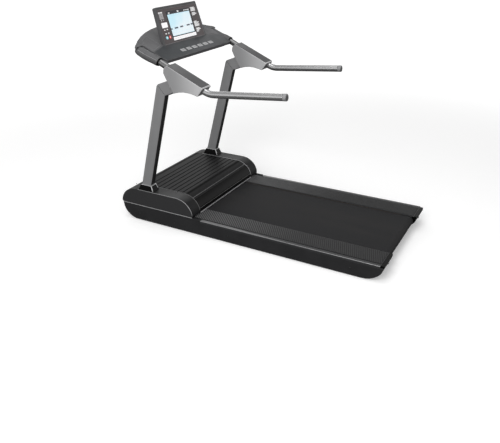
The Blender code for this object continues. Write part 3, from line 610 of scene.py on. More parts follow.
def hood_line(end):
    """Points (distance, height) on the hood's side outline, from the front over its rolled rear to end."""
    centre, rise, steps = HOOD_REAR + CORNER_LENGTH, HOOD_TOP - TRIM_HEIGHT, 40
    turns = [math.pi / 2 * i / steps for i in range(steps + 1)]
    roll = [(centre - CORNER_LENGTH * math.sin(a), TRIM_HEIGHT + rise * math.cos(a)) for a in turns]
    return [point for point in [(BEAD_FRONT, HOOD_TOP), *roll] if point[0] >= end]


def even_shading(piece):
    """Shades a piece smoothly, led by its larger faces."""
    shade = piece.modifiers.new("even shading", "WEIGHTED_NORMAL")
    shade.weight = 60


# ------------------------------------------------------------------ ways to make a piece


def finished(name, mesh, finish, body):
    """Puts a mesh in the scene with its finish, riding on a body."""
    piece = placed(name, mesh)
    mesh.materials.append(FINISHES[finish].material)
    mesh.shade_smooth()
    even_shading(piece)
    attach(piece, body)


def from_shape(name, shape, finish, rounded=0.0, segments=2, body="frame"):
    """Makes a piece from a bmesh, with its sharp edges rounded if asked."""
    bmesh.ops.recalc_face_normals(shape, faces=shape.faces)
    if rounded:
        edges = [edge for edge in shape.edges if edge.is_manifold and edge.calc_face_angle() > SHARP]
        bmesh.ops.bevel(shape, geom=edges, offset=rounded, segments=segments, affect="EDGES", profile=0.5)
    mesh = bpy.data.meshes.new(name)
    shape.to_mesh(mesh)
    shape.free()
    finished(name, mesh, finish, body)


def add_block(shape, low, high, place=None):
    """Adds a box between two corners of a local frame to a bmesh."""
    low, high = Vector(low), Vector(high)
    for vertex in bmesh.ops.create_cube(shape, size=1)["verts"]:
        spot = Vector([low[i] + (vertex.co[i] + 0.5) * (high[i] - low[i]) for i in range(3)])
        vertex.co = place @ spot if place else spot


def block(name, low, high, finish, rounded=0.0):
    """A piece of the frame that is one box between two corners."""
    shape = bmesh.new()
    add_block(shape, low, high)
    from_shape(name, shape, finish, rounded)


def circle(radius, steps):
    """A circle's outline."""
    turns = [math.tau * i / steps for i in range(steps)]
    return [(radius * math.cos(a), radius * math.sin(a)) for a in turns]


def add_prism(shape, outline, low, high, place=None):
    """Adds a prism on an outline in a local XY plane, from low to high."""
    rings = [[shape.verts.new((x, y, level)) for x, y in outline] for level in (low, high)]
    count = len(outline)
    for i in range(count):
        j = (i + 1) % count
        shape.faces.new((rings[0][i], rings[0][j], rings[1][j], rings[1][i]))
    shape.faces.new(rings[0][::-1])
    shape.faces.new(rings[1])
    if place:
        for ring in rings:
            for vertex in ring:
                vertex.co = place @ vertex.co


def add_turned(shape, profile, place, steps=24):
    """Adds a solid turned about local Z; its (radius, height) profile ends on the axis or where it began."""
    loops = []
    for radius, height in profile:
        outline = circle(radius, steps) if radius else [(0, 0)]
        loops.append([shape.verts.new(place @ Vector((x, y, height))) for x, y in outline])
    for near, far in zip(loops, loops[1:]):
        for i in range(steps):
            j = i + 1
            corners = [near[i % len(near)], near[j % len(near)], far[j % len(far)], far[i % len(far)]]
            kept = [corner for k, corner in enumerate(corners) if corner not in corners[:k]]
            if len(kept) > 2:
                shape.faces.new(kept)


def add_sweep(shape, points, section, across):
    """Sweeps a closed section, as (along across, outward), through points in one plane."""
    points = [Vector(point) for point in points]
    across = Vector(across).normalized()
    loops = []
    for i, point in enumerate(points):
        before, after = points[max(i - 1, 0)], points[min(i + 1, len(points) - 1)]
        outward = across.cross(after - before).normalized()
        loops.append([shape.verts.new(point + across * a + outward * b) for a, b in section])
    for near, far in zip(loops, loops[1:]):
        for i in range(len(section)):
            j = (i + 1) % len(section)
            shape.faces.new((near[i], near[j], far[j], far[i]))
    shape.faces.new(loops[0][::-1])
    shape.faces.new(loops[-1])


def bead_section(width, height):
    """A bead's section for a sweep: half round on one side of the line, and a shallow foot on the other."""
    half, foot = width / 2, 0.0006
    turns = [math.pi * i / 6 for i in range(7)]
    return [*((half * math.cos(a), -height * math.sin(a)) for a in turns), (-half, foot), (half, foot)]


def plate(name, outlines, low, high, place, finish, rounded=0.0, body="frame"):
    """A flat plate from low to high in a local frame; further outlines are holes or islands."""
    curve = bpy.data.curves.new(name, "CURVE")
    curve.dimensions, curve.fill_mode, curve.extrude = "2D", "BOTH", (high - low) / 2
    for outline in outlines:
        line = curve.splines.new("POLY")
        line.points.add(len(outline) - 1)
        for point, (x, y) in zip(line.points, outline):
            point.co = (x, y, 0, 1)
        line.use_cyclic_u = True
    flat = placed(name, curve)
    bpy.context.view_layer.update()
    mesh = bpy.data.meshes.new_from_object(flat.evaluated_get(bpy.context.evaluated_depsgraph_get()))
    bpy.data.objects.remove(flat, do_unlink=True)
    shape = bmesh.new()
    shape.from_mesh(mesh)
    bpy.data.meshes.remove(mesh)
    bmesh.ops.remove_doubles(shape, verts=shape.verts, dist=1e-6)
    bmesh.ops.dissolve_limit(shape, angle_limit=0.001, verts=shape.verts, edges=shape.edges)
    shape.transform(place @ Matrix.Translation((0, 0, (low + high) / 2)))
    from_shape(name, shape, finish, rounded, body=body)


def rectangle(left, bottom, right, top, corner=0.0):
    """A rectangle's outline, with round corners if asked."""
    if not corner:
        return [(left, bottom), (right, bottom), (right, top), (left, top)]
    points, steps = [], 3
    corners = [(right, bottom, -90), (right, top, 0), (left, top, 90), (left, bottom, 180)]
    for x, y, start in corners:
        cx = x - math.copysign(corner, x - (left + right) / 2)
        cy = y - math.copysign(corner, y - (bottom + top) / 2)
        for i in range(steps + 1):
            a = math.radians(start + 90 * i / steps)
            points.append((cx + corner * math.cos(a), cy + corner * math.sin(a)))
    return points


def screw(shape, place, radius):
    """A pan head with a cross recess, standing on local Z."""
    head = 0.42 * radius
    slot_half, reach, deep = 0.16 * radius, 0.55 * radius, 0.55 * head
    dome = [(0, 0), (radius, 0), (radius * 0.96, head * 0.6), (radius * 0.7, head * 0.95), (0, head)]
    add_turned(shape, dome, place)
    for turn in (0, math.pi / 2):
        cross = place @ Matrix.Rotation(turn, 4, "Z")
        add_block(shape, (-reach, -slot_half, head - deep), (reach, slot_half, head + 0.00012), cross)


def side_on(x, start=REAR):
    """A local frame on edge at x: its X runs forward from start, its Y up and its Z across."""
    return Matrix(((0, 0, 1, x), (1, 0, 0, start), (0, 1, 0, 0), (0, 0, 0, 1)))


# ------------------------------------------------------------------ hood and base trim


def hood_beads():
    """Beads along the hood's outline at its seams and outer edges, one of each pair paler than the other: a
    painted highlight on the bead facing the light, painted shade on the other.
    """
    # beads with the painted highlight; the rest get painted shade
    pale = (("edge", "left"), ("seam", "right"))
    for side, sign in SIDES.items():
        for name, x, width in (("seam", HOOD_SEAM, 0.0040), ("edge", HALF_WIDTH - 0.0034, 0.0042)):
            shape = bmesh.new()
            line = [(sign * x, along(d), z) for d, z in hood_line(HOOD_REAR + 0.0005)]
            add_sweep(shape, line, bead_section(width, 0.0016), (1, 0, 0))
            tone = "painted_highlight_bead" if (name, side) in pale else "painted_shade_bead"
            from_shape(f"hood_{name}_bead_{side}", shape, tone)


def lip_trim():
    """A bright strip where the glossy lip meets the belt, and two thin beads across its curve, paler than the
    lip as a painted highlight.
    """
    half, low, face = HOOD_SEAM - 0.004, RAIL_TOP + 0.0035, HOOD_REAR - 0.0001
    block("lip_bright_strip", (-half, along(face - 0.0016), low), (half, along(face + 0.001), low + 0.0085),
          "bright_trim", 0.0006)
    # painted highlight across the lip's curve
    place, height = next(point for point in hood_line(HOOD_REAR) if point[0] < 1.3175)
    block("lip_thin_bead", (-half, along(place - 0.0022), height - 0.002),
          (half, along(place + 0.002), height + 0.0008), "lip_highlight_bead", 0.0007)
    # painted highlight where the lip meets the ribbed top
    shape = bmesh.new()
    joint = [(0, along(d), z) for d, z in hood_line(1.357) if d < 1.372]
    section = [(-half, 0.0004), (half, 0.0004), (half, -0.0014), (-half, -0.0014)]
    add_sweep(shape, joint[:2], section, (1, 0, 0))
    from_shape("lip_joint_bead", shape, "lip_highlight_bead", 0.0004)


def front_seal():
    """The rubber seal inside the front joint between hood and pan."""
    reach, overlap = HALF_WIDTH - 0.012, 0.006
    low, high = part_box("motor_pan")[1][2] - overlap, TRIM_HEIGHT + overlap
    block("front_seal", (-reach, along(LENGTH - 0.0150), low), (reach, along(LENGTH - 0.0055), high),
          "black_rubber", 0.0010)


def side_trims():
    """A bright strip, over a dark shadow line, along each side between hood and skirt."""
    for side, sign in SIDES.items():
        for name, low, high, stand, finish, slot in (
            ("bright_trim", -0.0048, -0.0006, 0.0014, "bright_trim", "bright_steel"),
            ("shadow_line", -0.0078, -0.0050, 0.0006, "gloss_black", "gloss_black"),
        ):
            inner, outer = sorted((sign * (HALF_WIDTH - 0.003), sign * (HALF_WIDTH + stand)))
            rear = (inner, along(HOOD_REAR + 0.002), TRIM_HEIGHT + low)
            front = (outer, along(LENGTH - 0.011), TRIM_HEIGHT + high)
            block(f"{name}_{side}", rear, front, finish, 0.0005)


def rail_dressing():
    """Each foot rail's ribbed grip strip, its groove, its pale outer bead, a painted highlight, and its pale
    tapering flare, a painted reflection.
    """
    strip_in, strip_out = RAIL_INNER + 0.004, HALF_WIDTH - 0.034
    start, end = RAIL_REAR + 0.004, HOOD_REAR + 0.018
    pitch, rib, lean = 0.0130, 0.0062, 0.048
    base_top, rib_top = RAIL_TOP + 0.0011, RAIL_TOP + 0.0023
    edge, inner, outer = HALF_WIDTH - 0.0055, strip_in + 0.003, strip_out - 0.003
    first_rib, ribs = start - lean + 0.006, int((end - start + lean) / pitch) - 1
    flare = [(edge, 0.62), (edge, 1.251), (strip_out + 0.0075, 1.251), (strip_out + 0.0095, 1.05),
             (HALF_WIDTH - 0.0120, 0.80)]
    for side, sign in SIDES.items():
        low, high = sorted((sign * strip_in, sign * strip_out))
        block(f"grip_strip_{side}", (low, along(start), RAIL_TOP - 0.0002), (high, along(end), base_top),
              "grip_strip", 0.0005)
        shape = bmesh.new()
        for i in range(ribs):
            outline = clipped_rib(outer, inner, first_rib + pitch * i, rib, lean, start + 0.004, end - 0.002)
            if outline:
                add_prism(shape, [(sign * x, along(d)) for x, d in outline], base_top - 0.0002, rib_top)
        from_shape(f"grip_ribs_{side}", shape, "grip_ribs")
        low, high = sorted((sign * (strip_out + 0.0015), sign * (strip_out + 0.0055)))
        block(f"rail_groove_{side}", (low, along(start), RAIL_TOP - 0.0003),
              (high, along(end - 0.02), RAIL_TOP + 0.0003), "gloss_black")
        # painted highlight along the rail's outer edge
        shape = bmesh.new()
        line = [(sign * (HALF_WIDTH - 0.0028), along(d), RAIL_TOP) for d in (start - 0.002, 0.4, 0.8, 1.252)]
        add_sweep(shape, line, bead_section(0.0046, 0.0013)[::-1], (-1, 0, 0))
        from_shape(f"rail_edge_bead_{side}", shape, "painted_highlight_bead")
        # painted reflection: a pale plate that tapers away from the hood
        shape = bmesh.new()
        add_prism(shape, [(sign * x, along(d)) for x, d in flare], RAIL_TOP - 0.0003, RAIL_TOP + 0.0009)
        from_shape(f"rail_reflection_flare_{side}", shape, "rail_reflection_flare", 0.0004)


def clipped_rib(outer, inner, place, width, lean, low, high):
    """A slanting rib's outline from outer to inner, cut off square at the strip's two ends."""
    corners = [(outer, place), (inner, place + lean), (inner, place + lean + width), (outer, place + width)]
    for limit, sense in ((low, 1), (high, -1)):
        kept = []
        for first, last in zip(corners, corners[1:] + corners[:1]):
            inside, beyond = sense * (first[1] - limit) >= 0, sense * (last[1] - limit) >= 0
            if inside:
                kept.append(first)
            if inside != beyond:
                share = (limit - first[1]) / (last[1] - first[1])
                kept.append((first[0] + share * (last[0] - first[0]), limit))
        corners = kept
    return corners if len(corners) > 2 else None


def boot_edges():
    """Bright bars round each boot's top rim and down its two rear corners, a painted highlight on its edges.
    """
    half_top, half_base = UPRIGHT_WIDTH / 2 + 0.0065, UPRIGHT_WIDTH / 2 + 0.0115
    thick, rim_thick, inset = 0.0052, 0.0052 * 0.8, 0.0024
    for side, sign in SIDES.items():
        low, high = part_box(f"upright_boot_{side}")
        rim, foot = high[2] - 0.0005, low[2] + 0.001
        rear, rear_foot = along(upright_rear(high[2]) - 0.0045), low[1] + 0.0035
        front = along(upright_rear(high[2]) + UPRIGHT_DEPTH + 0.0025)
        # painted highlight on the boot's edges
        shape = bmesh.new()
        for reach in (-1, 1):
            x_top = sign * UPRIGHT_X + reach * (half_top - inset)
            x_foot = sign * UPRIGHT_X + reach * (half_base - inset)
            add_bar(shape, (x_foot, rear_foot, foot), (x_top, rear, rim), thick)
            add_bar(shape, (x_top, rear, rim), (x_top, front, rim), rim_thick)
        left, right = sign * UPRIGHT_X - half_top, sign * UPRIGHT_X + half_top
        add_bar(shape, (left, rear, rim), (right, rear, rim), rim_thick)
        from_shape(f"boot_highlight_bars_{side}", shape, "painted_edge_highlight", 0.0008)


def add_bar(shape, first, last, thick):
    """A square bar between two points."""
    first, last = Vector(first), Vector(last)
    span = last - first
    turn = span.to_track_quat("Z", "Y").to_matrix().to_4x4()
    half = thick / 2
    add_block(shape, (-half, -half, 0), (half, half, span.length), Matrix.Translation(first) @ turn)


def skirt_fixings():
    """Screws along the skirts, and the tension bolts in the rear caps."""
    shape = bmesh.new()
    for sign in (-1, 1):
        for distance in (0.20, 0.62, 1.04, 1.46, 1.76):
            at = Matrix.Translation((sign * (HALF_WIDTH - 0.0004), along(distance), 0.052))
            screw(shape, at @ quarter_turn("Y", sign), 0.0046)
    from_shape("skirt_screws", shape, "black_steel")
    shape = bmesh.new()
    for sign in (-1, 1):
        at = Matrix.Translation((sign * 0.345, along(0.0075), 0.080)) @ quarter_turn("X")
        add_turned(shape, [(0, -0.004), (0.0105, -0.004), (0.0105, 0.0), (0, 0.0)], at)
        add_prism(shape, circle(0.0075, 6), 0.0, 0.0052, at)
    from_shape("belt_tension_bolts", shape, "zinc_steel", 0.0004)


def hood_fixings():
    """Four screws in the top of the hood's sides."""
    shape = bmesh.new()
    for sign in (-1, 1):
        for distance in (1.49, 1.83):
            screw(shape, Matrix.Translation((sign * 0.380, along(distance), HOOD_TOP - 0.0002)), 0.0042)
    from_shape("hood_screws", shape, "black_steel")


def power_entry():
    """The inlet socket and rocker switch low on the front of the base."""
    face = Matrix.Translation((0.245, along(1.8985), 0.079)) @ quarter_turn("X", -1)
    face = face @ Matrix.Rotation(math.radians(-14), 4, "X") @ HALF_TURN
    frame_line = rectangle(-0.036, -0.017, 0.036, 0.017, 0.004)
    socket_hole = rectangle(-0.030, -0.0115, -0.004, 0.0115, 0.003)
    switch_hole = rectangle(0.005, -0.0115, 0.027, 0.0115, 0.001)
    outlines = [frame_line, socket_hole, switch_hole]
    plate("power_entry_plate", outlines, -0.003, 0.0035, face, "gloss_black", 0.0007)
    shape = bmesh.new()
    add_block(shape, (-0.0296, -0.0111, -0.008), (-0.0044, 0.0111, -0.0035), face)
    for x, y in ((-0.0225, -0.0035), (-0.0115, -0.0035), (-0.017, 0.004)):
        add_block(shape, (x - 0.001, y - 0.0026, -0.0036), (x + 0.001, y + 0.0026, 0.0015), face)
    from_shape("power_socket_pins", shape, "zinc_steel", 0.0003)
    shape = bmesh.new()
    rocker = [(-0.0108, -0.004), (0.0108, -0.004), (0.0108, 0.0052), (0.0, 0.0022), (-0.0108, 0.0036)]
    pivot = face @ Matrix.Translation((0.016, 0, 0)) @ quarter_turn("Y") @ quarter_turn("Z")
    add_prism(shape, rocker, -0.0105, 0.0105, pivot)
    from_shape("power_rocker_switch", shape, "stop_red", 0.0008)


def wheel_carriers():
    """The axle, with its two collars, and the forked bracket of each transport wheel."""
    pin, bore, collar = 0.0041, 0.0042, 0.0070
    arm = [(-0.011, 0.0), (0.011, 0.0), (0.017, 0.048), (-0.017, 0.048)]
    for side in SIDES:
        low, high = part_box(f"transport_wheel_{side}")
        middle = Vector([(low[i] + high[i]) / 2 for i in range(3)])
        shape = bmesh.new()
        at = Matrix.Translation(middle) @ quarter_turn("Y")
        add_turned(shape, [(0, -0.0185), (pin, -0.0185), (pin, 0.0185), (0, 0.0185)], at, 20)
        for end in (-1, 1):
            near, far = end * 0.0150, end * 0.0182
            add_turned(shape, [(bore, near), (collar, near), (collar, far), (bore, far), (bore, near)], at, 6)
        from_shape(f"wheel_axle_{side}", shape, "zinc_steel")
        shape = bmesh.new()
        for end in (-1, 1):
            beside = Matrix.Translation(middle + Vector((end * 0.0135, 0, -0.009)))
            add_prism(shape, arm, -0.0011, 0.0011, beside @ quarter_turn("X") @ quarter_turn("Y"))
        from_shape(f"wheel_fork_{side}", shape, "black_steel", 0.0004)


def motor_bay_wiring():
    """Leads from the controller to the motor and the inlet."""
    red = [(0.085, 1.60, 0.090), (0.060, 1.63, 0.110), (0.030, 1.645, 0.120)]
    black = [(0.100, 1.62, 0.090), (0.070, 1.655, 0.115), (0.028, 1.66, 0.112)]
    inlet = [(0.235, 1.70, 0.085), (0.250, 1.78, 0.075), (0.240, 1.86, 0.078)]
    for name, finish, points in (
        ("motor_lead_red", "stop_red", red),
        ("motor_lead_black", "gloss_black", black),
        ("inlet_lead", "gloss_black", inlet),
    ):
        curve = bpy.data.curves.new(name, "CURVE")
        curve.dimensions, curve.bevel_depth, curve.bevel_resolution = "3D", 0.0022, 3
        curve.use_fill_caps = True
        line = curve.splines.new("BEZIER")
        line.bezier_points.add(len(points) - 1)
        for point, (x, d, z) in zip(line.bezier_points, points):
            point.co = (x, along(d), z)
            point.handle_left_type = point.handle_right_type = "AUTO"
        lead = placed(name, curve)
        curve.materials.append(FINISHES[finish].material)
        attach(lead, "frame")


# ------------------------------------------------------------------ uprights, housings and handles


def upright_covers():
    """Dark covers down the rear face of each upright, and on under its turned back head: painted shade on
    faces turned from the light.
    """
    top, base, thick, sunk = 0.916, 0.281, 0.0016, 0.002
    half = UPRIGHT_WIDTH / 2 - 0.0028
    down = [(upright_rear(base) - thick, base), (upright_rear(base) + sunk, base),
            (upright_rear(top) + sunk, top), (upright_rear(top) - thick, top)]
    under = [(1.4800, 0.9165), (1.4435, 0.9284), (1.4110, 0.9466), (1.4110, 0.9530), (1.4440, 0.9345),
             (1.4815, 0.9225)]
    # painted shade: dark sheets on the rear face and under the head
    for side, sign in SIDES.items():
        shape = bmesh.new()
        for outline in (down, under):
            add_prism(shape, outline, -half, half, side_on(sign * UPRIGHT_X))
        from_shape(f"upright_cover_{side}", shape, "upright_shade_cover", 0.0009)


def elbow_seams():
    """The mitre line on both faces where each upright turns back into its housing."""
    for side, sign in SIDES.items():
        shape = bmesh.new()
        for reach in (-1, 1):
            x = sign * UPRIGHT_X + reach * (UPRIGHT_WIDTH / 2 + 0.0002)
            add_bar(shape, (x, along(1.530), 0.980), (x, along(1.483), 0.927), 0.0022)
        from_shape(f"elbow_mitre_{side}", shape, "mitre_line", 0.0006)


def housing_dressing():
    """A lid that rises over each handle tube, its inlay in a groove, pale edge lines that are a painted
    highlight, and screws outside.
    """
    rear, front = (1.1920, 1.0020), (1.4413, 1.1102)
    drift, rise = front[0] - rear[0], front[1] - rear[1]
    slope, run = math.atan2(rise, drift), math.hypot(drift, rise)
    lid = [(rear[0] + 0.0010, rear[1] - 0.0012), (1.4430, 1.1035), front, rear]
    for side, sign in SIDES.items():
        low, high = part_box(f"handle_housing_{side}")
        middle, half = (low[0] + high[0]) / 2, (high[0] - low[0]) / 2
        top = Matrix.Translation((middle, along(rear[0]), rear[1])) @ Matrix.Rotation(slope, 4, "X")
        shape = bmesh.new()
        add_prism(shape, lid, 0.0004 - half, half - 0.0004, side_on(middle))
        from_shape(f"housing_lid_{side}", shape, "housing_paint", 0.0008)
        groove = rectangle(-half + 0.0046, 0.0040, half - 0.0046, run - 0.003, 0.004)
        plate(f"housing_groove_{side}", [groove], -0.0015, 0.0004, top, "gloss_black", 0.0002)
        inlay = rectangle(-half + 0.0085, 0.0060, half - 0.0060, run - 0.005, 0.004)
        plate(f"housing_inlay_{side}", [inlay], -0.0015, 0.0012, top, "housing_inlay", 0.0006)
        # painted highlight: pale lines along the top's two edges and across its rear
        shape = bmesh.new()
        for reach in (-1, 1):
            x = middle + reach * (half - 0.0026)
            line = [(x, along(rear[0] + drift * f), rear[1] + rise * f) for f in (0.01, 0.35, 0.7, 0.985)]
            add_sweep(shape, line, bead_section(0.0036, 0.0011), (1, 0, 0))
        add_block(shape, (-half + 0.002, -0.0004, -0.001), (half - 0.002, 0.0030, 0.0011), top)
        from_shape(f"housing_edge_highlights_{side}", shape, "painted_edge_highlight")
        shape = bmesh.new()
        outer = sign * (abs(middle) + half)
        for distance in (1.425, 1.245):
            at = Matrix.Translation((outer - sign * 0.0004, along(distance), 0.985))
            screw(shape, at @ quarter_turn("Y", sign), 0.0032)
        from_shape(f"housing_screws_{side}", shape, "zinc_steel")


def pod_dressing():
    """Each pod's dark mouth ring, its textured lower shell and the parting ridge between them, pale as a
    painted highlight.
    """
    # distance along the console plane, middle height, radius
    sections = [(-0.0020, -0.0008, 0.0288), (0.0040, -0.0015, 0.0300), (0.0400, -0.0052, 0.0304),
                (0.0700, -0.0100, 0.0304), (0.1100, -0.0128, 0.0304), (0.1500, -0.0128, 0.0300),
                (0.1620, -0.0120, 0.0284), (0.1690, -0.0115, 0.0250)]
    first, last, steps = math.radians(24), math.radians(-168), 16
    turns = [first + (last - first) * i / steps for i in range(steps + 1)]
    bore, inside = HANDLE_R + 0.0005, 0.0240
    mouth = [(bore, -0.002), (0.0268, -0.002), (0.0282, 0.001), (0.0276, 0.0045), (0.0250, 0.0058),
             (bore, 0.0052), (bore, -0.002)]
    for side, sign in SIDES.items():
        shape = bmesh.new()
        at = CONSOLE @ Matrix.Translation((sign * HANDLE_X, -0.0035, 0)) @ quarter_turn("X")
        add_turned(shape, mouth, at, 40)
        from_shape(f"pod_mouth_ring_{side}", shape, "gloss_black")
        shape = bmesh.new()
        loops = []
        for place, middle, radius in sections:
            arc = [(radius * math.cos(a), radius * math.sin(a)) for a in turns]
            arc += [(inside * math.cos(a), inside * math.sin(a)) for a in reversed(turns)]
            corners = [CONSOLE @ Vector((sign * (HANDLE_X + x), place, middle + n)) for x, n in arc]
            loops.append([shape.verts.new(corner) for corner in corners])
        for near, far in zip(loops, loops[1:]):
            for i in range(len(near)):
                shape.faces.new((near[i - 1], near[i], far[i], far[i - 1]))
        shape.faces.new(loops[0])
        shape.faces.new(loops[-1])
        from_shape(f"pod_lower_shell_{side}", shape, "pod_grip", 0.0008)
        # painted highlight along the ridge
        shape = bmesh.new()
        line = []
        for place, middle, radius in sections[1:6]:
            x, n = sign * (HANDLE_X + radius * math.cos(first)), middle + radius * math.sin(first)
            line.append(CONSOLE @ Vector((x, place, n)))
        add_sweep(shape, line, circle(0.0015, 8), (1, 0, 0))
        from_shape(f"pod_ridge_highlight_{side}", shape, "pod_ridge_highlight")


# ------------------------------------------------------------------ console


def keypad_deck():
    """The darker raised panel round the key row, with a window for each key."""
    windows = []
    for i in range(1, 7):
        low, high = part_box(f"console_key_{i}")
        left, right = low[0] - 0.0007, high[0] + 0.0007
        windows.append(rectangle(left, 0.0063, right, 0.0337, 0.0015))
    edge = [(0.371, -0.0265), (0.3865, 0.002), (0.3875, 0.0720), (0.255, 0.1035)]
    outline = [*edge, *[(-x, t) for x, t in reversed(edge)]]
    plate("keypad_deck", [outline, *windows], TRAY_TOP - 0.0003, TRAY_TOP + 0.0011, CONSOLE, "keypad_deck",
          0.0006)


def key_marks():
    """A textured pad with two short bars on each key, which travels with it."""
    top = TRAY_TOP + 0.0022
    for i in range(1, 7):
        body = f"key_{i}"
        low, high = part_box(f"console_key_{i}")
        x = (low[0] + high[0]) / 2
        pad = rectangle(x - 0.0125, 0.0140, x + 0.0125, 0.0260, 0.003)
        plate(f"key_pad_{i}", [pad], top - 0.0004, top + 0.0005, CONSOLE, "key_pad", 0.0002, body)
        shape = bmesh.new()
        for k in range(2):
            t, reach, half = 0.0172 + 0.0052 * k, 0.0085 - 0.002 * ((i + k) % 3), 0.0007
            low, high = (x - reach, t - half, top + 0.0003), (x + reach, t + half, top + 0.0007)
            add_block(shape, low, high, CONSOLE)
        from_shape(f"key_bars_{i}", shape, "key_bar", body=body)


def tray_dishes():
    """The raised rim of the accessory dish each side in front of the key panel."""
    rim = [(0.262, 0.1180), (0.372, 0.0865), (0.374, 0.1700), (0.345, 0.2030), (0.270, 0.2320)]
    for side, sign in SIDES.items():
        shape = bmesh.new()
        corners = [CONSOLE @ Vector((sign * x, t, TRAY_TOP)) for x, t in rim]
        for first, last in zip(corners, corners[1:] + corners[:1]):
            add_bar(shape, first, last, 0.0022)
        from_shape(f"dish_rim_{side}", shape, "tray_rim", 0.0007)


# ------------------------------------------------------------------ display


def on_panel():
    """A frame on the display panel's front: X across, Y up, Z out toward the runner."""
    return DISPLAY @ Matrix.Translation((0, PANEL_FRONT, 0)) @ STAND_UP


def printed(name, marks, finish="print_white", lift=0.00025):
    """Flat printed marks on the display panel, as thin rounded plates in one piece."""
    shape = bmesh.new()
    face = on_panel()
    for left, bottom, right, top in marks:
        corner = min(0.0012, (right - left) * 0.3, (top - bottom) * 0.3)
        add_prism(shape, rectangle(left, bottom, right, top, corner), -0.0002, lift, face)
    from_shape(name, shape, finish)


def screen_surround():
    """A gloss bezel that frames the screen's window, the status bar above it and the legend bar below."""
    outer = rectangle(-0.1315, 0.0205, 0.1400, 0.2075, 0.003)
    window = rectangle(-0.1245, 0.0505, 0.1265, 0.1875, 0.001)
    plate("screen_bezel", [outer, window], -0.0002, 0.0006, on_panel(), "gloss_bezel", 0.0003)
    printed("legend_bar", [(-0.126, 0.0240, 0.1350, 0.0445)], "legend_bar", 0.0010)
    ticks = []
    for i in range(9):
        left, height = -0.110 + 0.0265 * i, 0.0330 + 0.0012 * (i % 2)
        ticks.append((left, height, left + 0.0120, height + 0.0026))
    printed("legend_ticks", ticks, "print_grey", 0.0011)
    status = [(-0.112, 0.1925, -0.094, 0.1985), (-0.012, 0.1930, 0.006, 0.2015)]
    status += [(0.062, 0.1935, 0.080, 0.1990), (0.084, 0.1935, 0.102, 0.1985), (0.106, 0.1930, 0.124, 0.1990)]
    printed("status_icons", status, "print_white", 0.0009)


def panel_edge():
    """The pale edge of the overlay, where it meets the case."""
    def outline(inset):
        right = [(0.2322 - inset, 0.0110 + inset), (0.2167 - inset, 0.2260 - inset)]
        return [*right, *[(-x, z) for x, z in reversed(right)]]
    outlines = [outline(-0.0022), outline(0.0016)]
    plate("panel_edge", outlines, -0.0018, 0.0010, on_panel(), "panel_edge", 0.0004)


def ragged_block(left, bottom, top, widths):
    """Rows of printed bars of unequal length, as a column of settings reads from a distance."""
    step = (top - bottom) / len(widths)
    marks = []
    for i, width in enumerate(widths):
        height = bottom + step * i
        marks.append((left + 0.0014 * (i % 3), height, left + width, height + 0.74 * step))
    return marks


def panel_marks():
    """Generic printed blocks and pads each side of the screen."""
    grid = []
    for row in range(6):
        for column in range(4):
            x, z = -0.2085 + 0.0104 * column, 0.1670 + 0.0060 * row
            grid.append((x, z, x + 0.0088, z + 0.0046))
    printed("programme_grid", grid, "print_grey")
    printed("programme_tabs", [(-0.2095, 0.2032, -0.1900, 0.2100), (-0.1870, 0.2032, -0.1680, 0.2100)])
    printed("quick_pad", [(-0.2100, 0.1125, -0.1500, 0.1440)], "legend_bar", 0.0006)
    dots = [(-0.2010, 0.1570, -0.1950, 0.1620), (-0.1800, 0.1570, -0.1740, 0.1620)]
    dots.append((-0.2010, 0.1500, -0.1950, 0.1530))
    for x, z in ((-0.193, 0.099), (-0.165, 0.100), (-0.191, 0.076), (-0.162, 0.077)):
        dots.append((x - 0.0065, z - 0.0032, x + 0.0065, z + 0.0032))
    printed("adjust_arrows", dots)
    blocks = ragged_block(0.1450, 0.1800, 0.2070, (0.053, 0.050, 0.056, 0.047))
    blocks += ragged_block(0.1480, 0.1520, 0.1730, (0.034, 0.055, 0.042))
    blocks += ragged_block(0.1430, 0.0790, 0.1160, (0.056, 0.060, 0.052, 0.058, 0.036))
    blocks += ragged_block(0.1490, 0.0420, 0.0700, (0.026, 0.034, 0.055, 0.044))
    printed("programme_bars", blocks)


def key_symbols():
    """A triangle on the start key and a square on the stop key, which travel with them."""
    face = DISPLAY @ Matrix.Translation((0, -0.0010, 0)) @ STAND_UP
    centre = {"start": (-0.191, 0.0505), "stop": (-0.160, 0.0505)}
    marks = {"start": [(-0.0035, -0.0045), (0.0050, 0.0), (-0.0035, 0.0045)],
             "stop": rectangle(-0.0036, -0.0036, 0.0036, 0.0036)}
    for body, mark in marks.items():
        x, z = centre[body]
        shape = bmesh.new()
        add_prism(shape, [(x + dx, z + dz) for dx, dz in mark], -0.0002, 0.0003, face)
        from_shape(f"{body}_symbol", shape, "print_white", body=body)


def screen_readout():
    """What the lit screen shows: a dashed track with faint grid lines."""
    face = DISPLAY @ Matrix.Translation((0, PANEL_FRONT + 0.0006, 0)) @ STAND_UP
    left, right = -0.1235, 0.1255
    shape = bmesh.new()
    # place from the window's left, and length, of each dash
    for start, length in ((0.002, 0.012), (0.040, 0.038), (0.102, 0.034), (0.178, 0.036), (0.227, 0.021)):
        low = 0.0925 + 0.018 * start
        add_block(shape, (left + start, low, -0.0001), (left + start + length, low + 0.0085, 0.0003), face)
    from_shape("screen_track", shape, "screen_navy")
    shape = bmesh.new()
    add_block(shape, (left + 0.150, 0.0965, -0.0001), (left + 0.163, 0.1020, 0.0002), face)
    add_block(shape, (left, 0.1835, -0.0001), (right, 0.1868, 0.0002), face)
    add_block(shape, (left, 0.0512, -0.0001), (right, 0.0532, 0.0002), face)
    for i in range(8):
        x = left + 0.012 + 0.029 * i
        add_block(shape, (x, 0.070, -0.0001), (x + 0.018, 0.0716, 0.00015), face)
    from_shape("screen_profile", shape, "screen_tint")


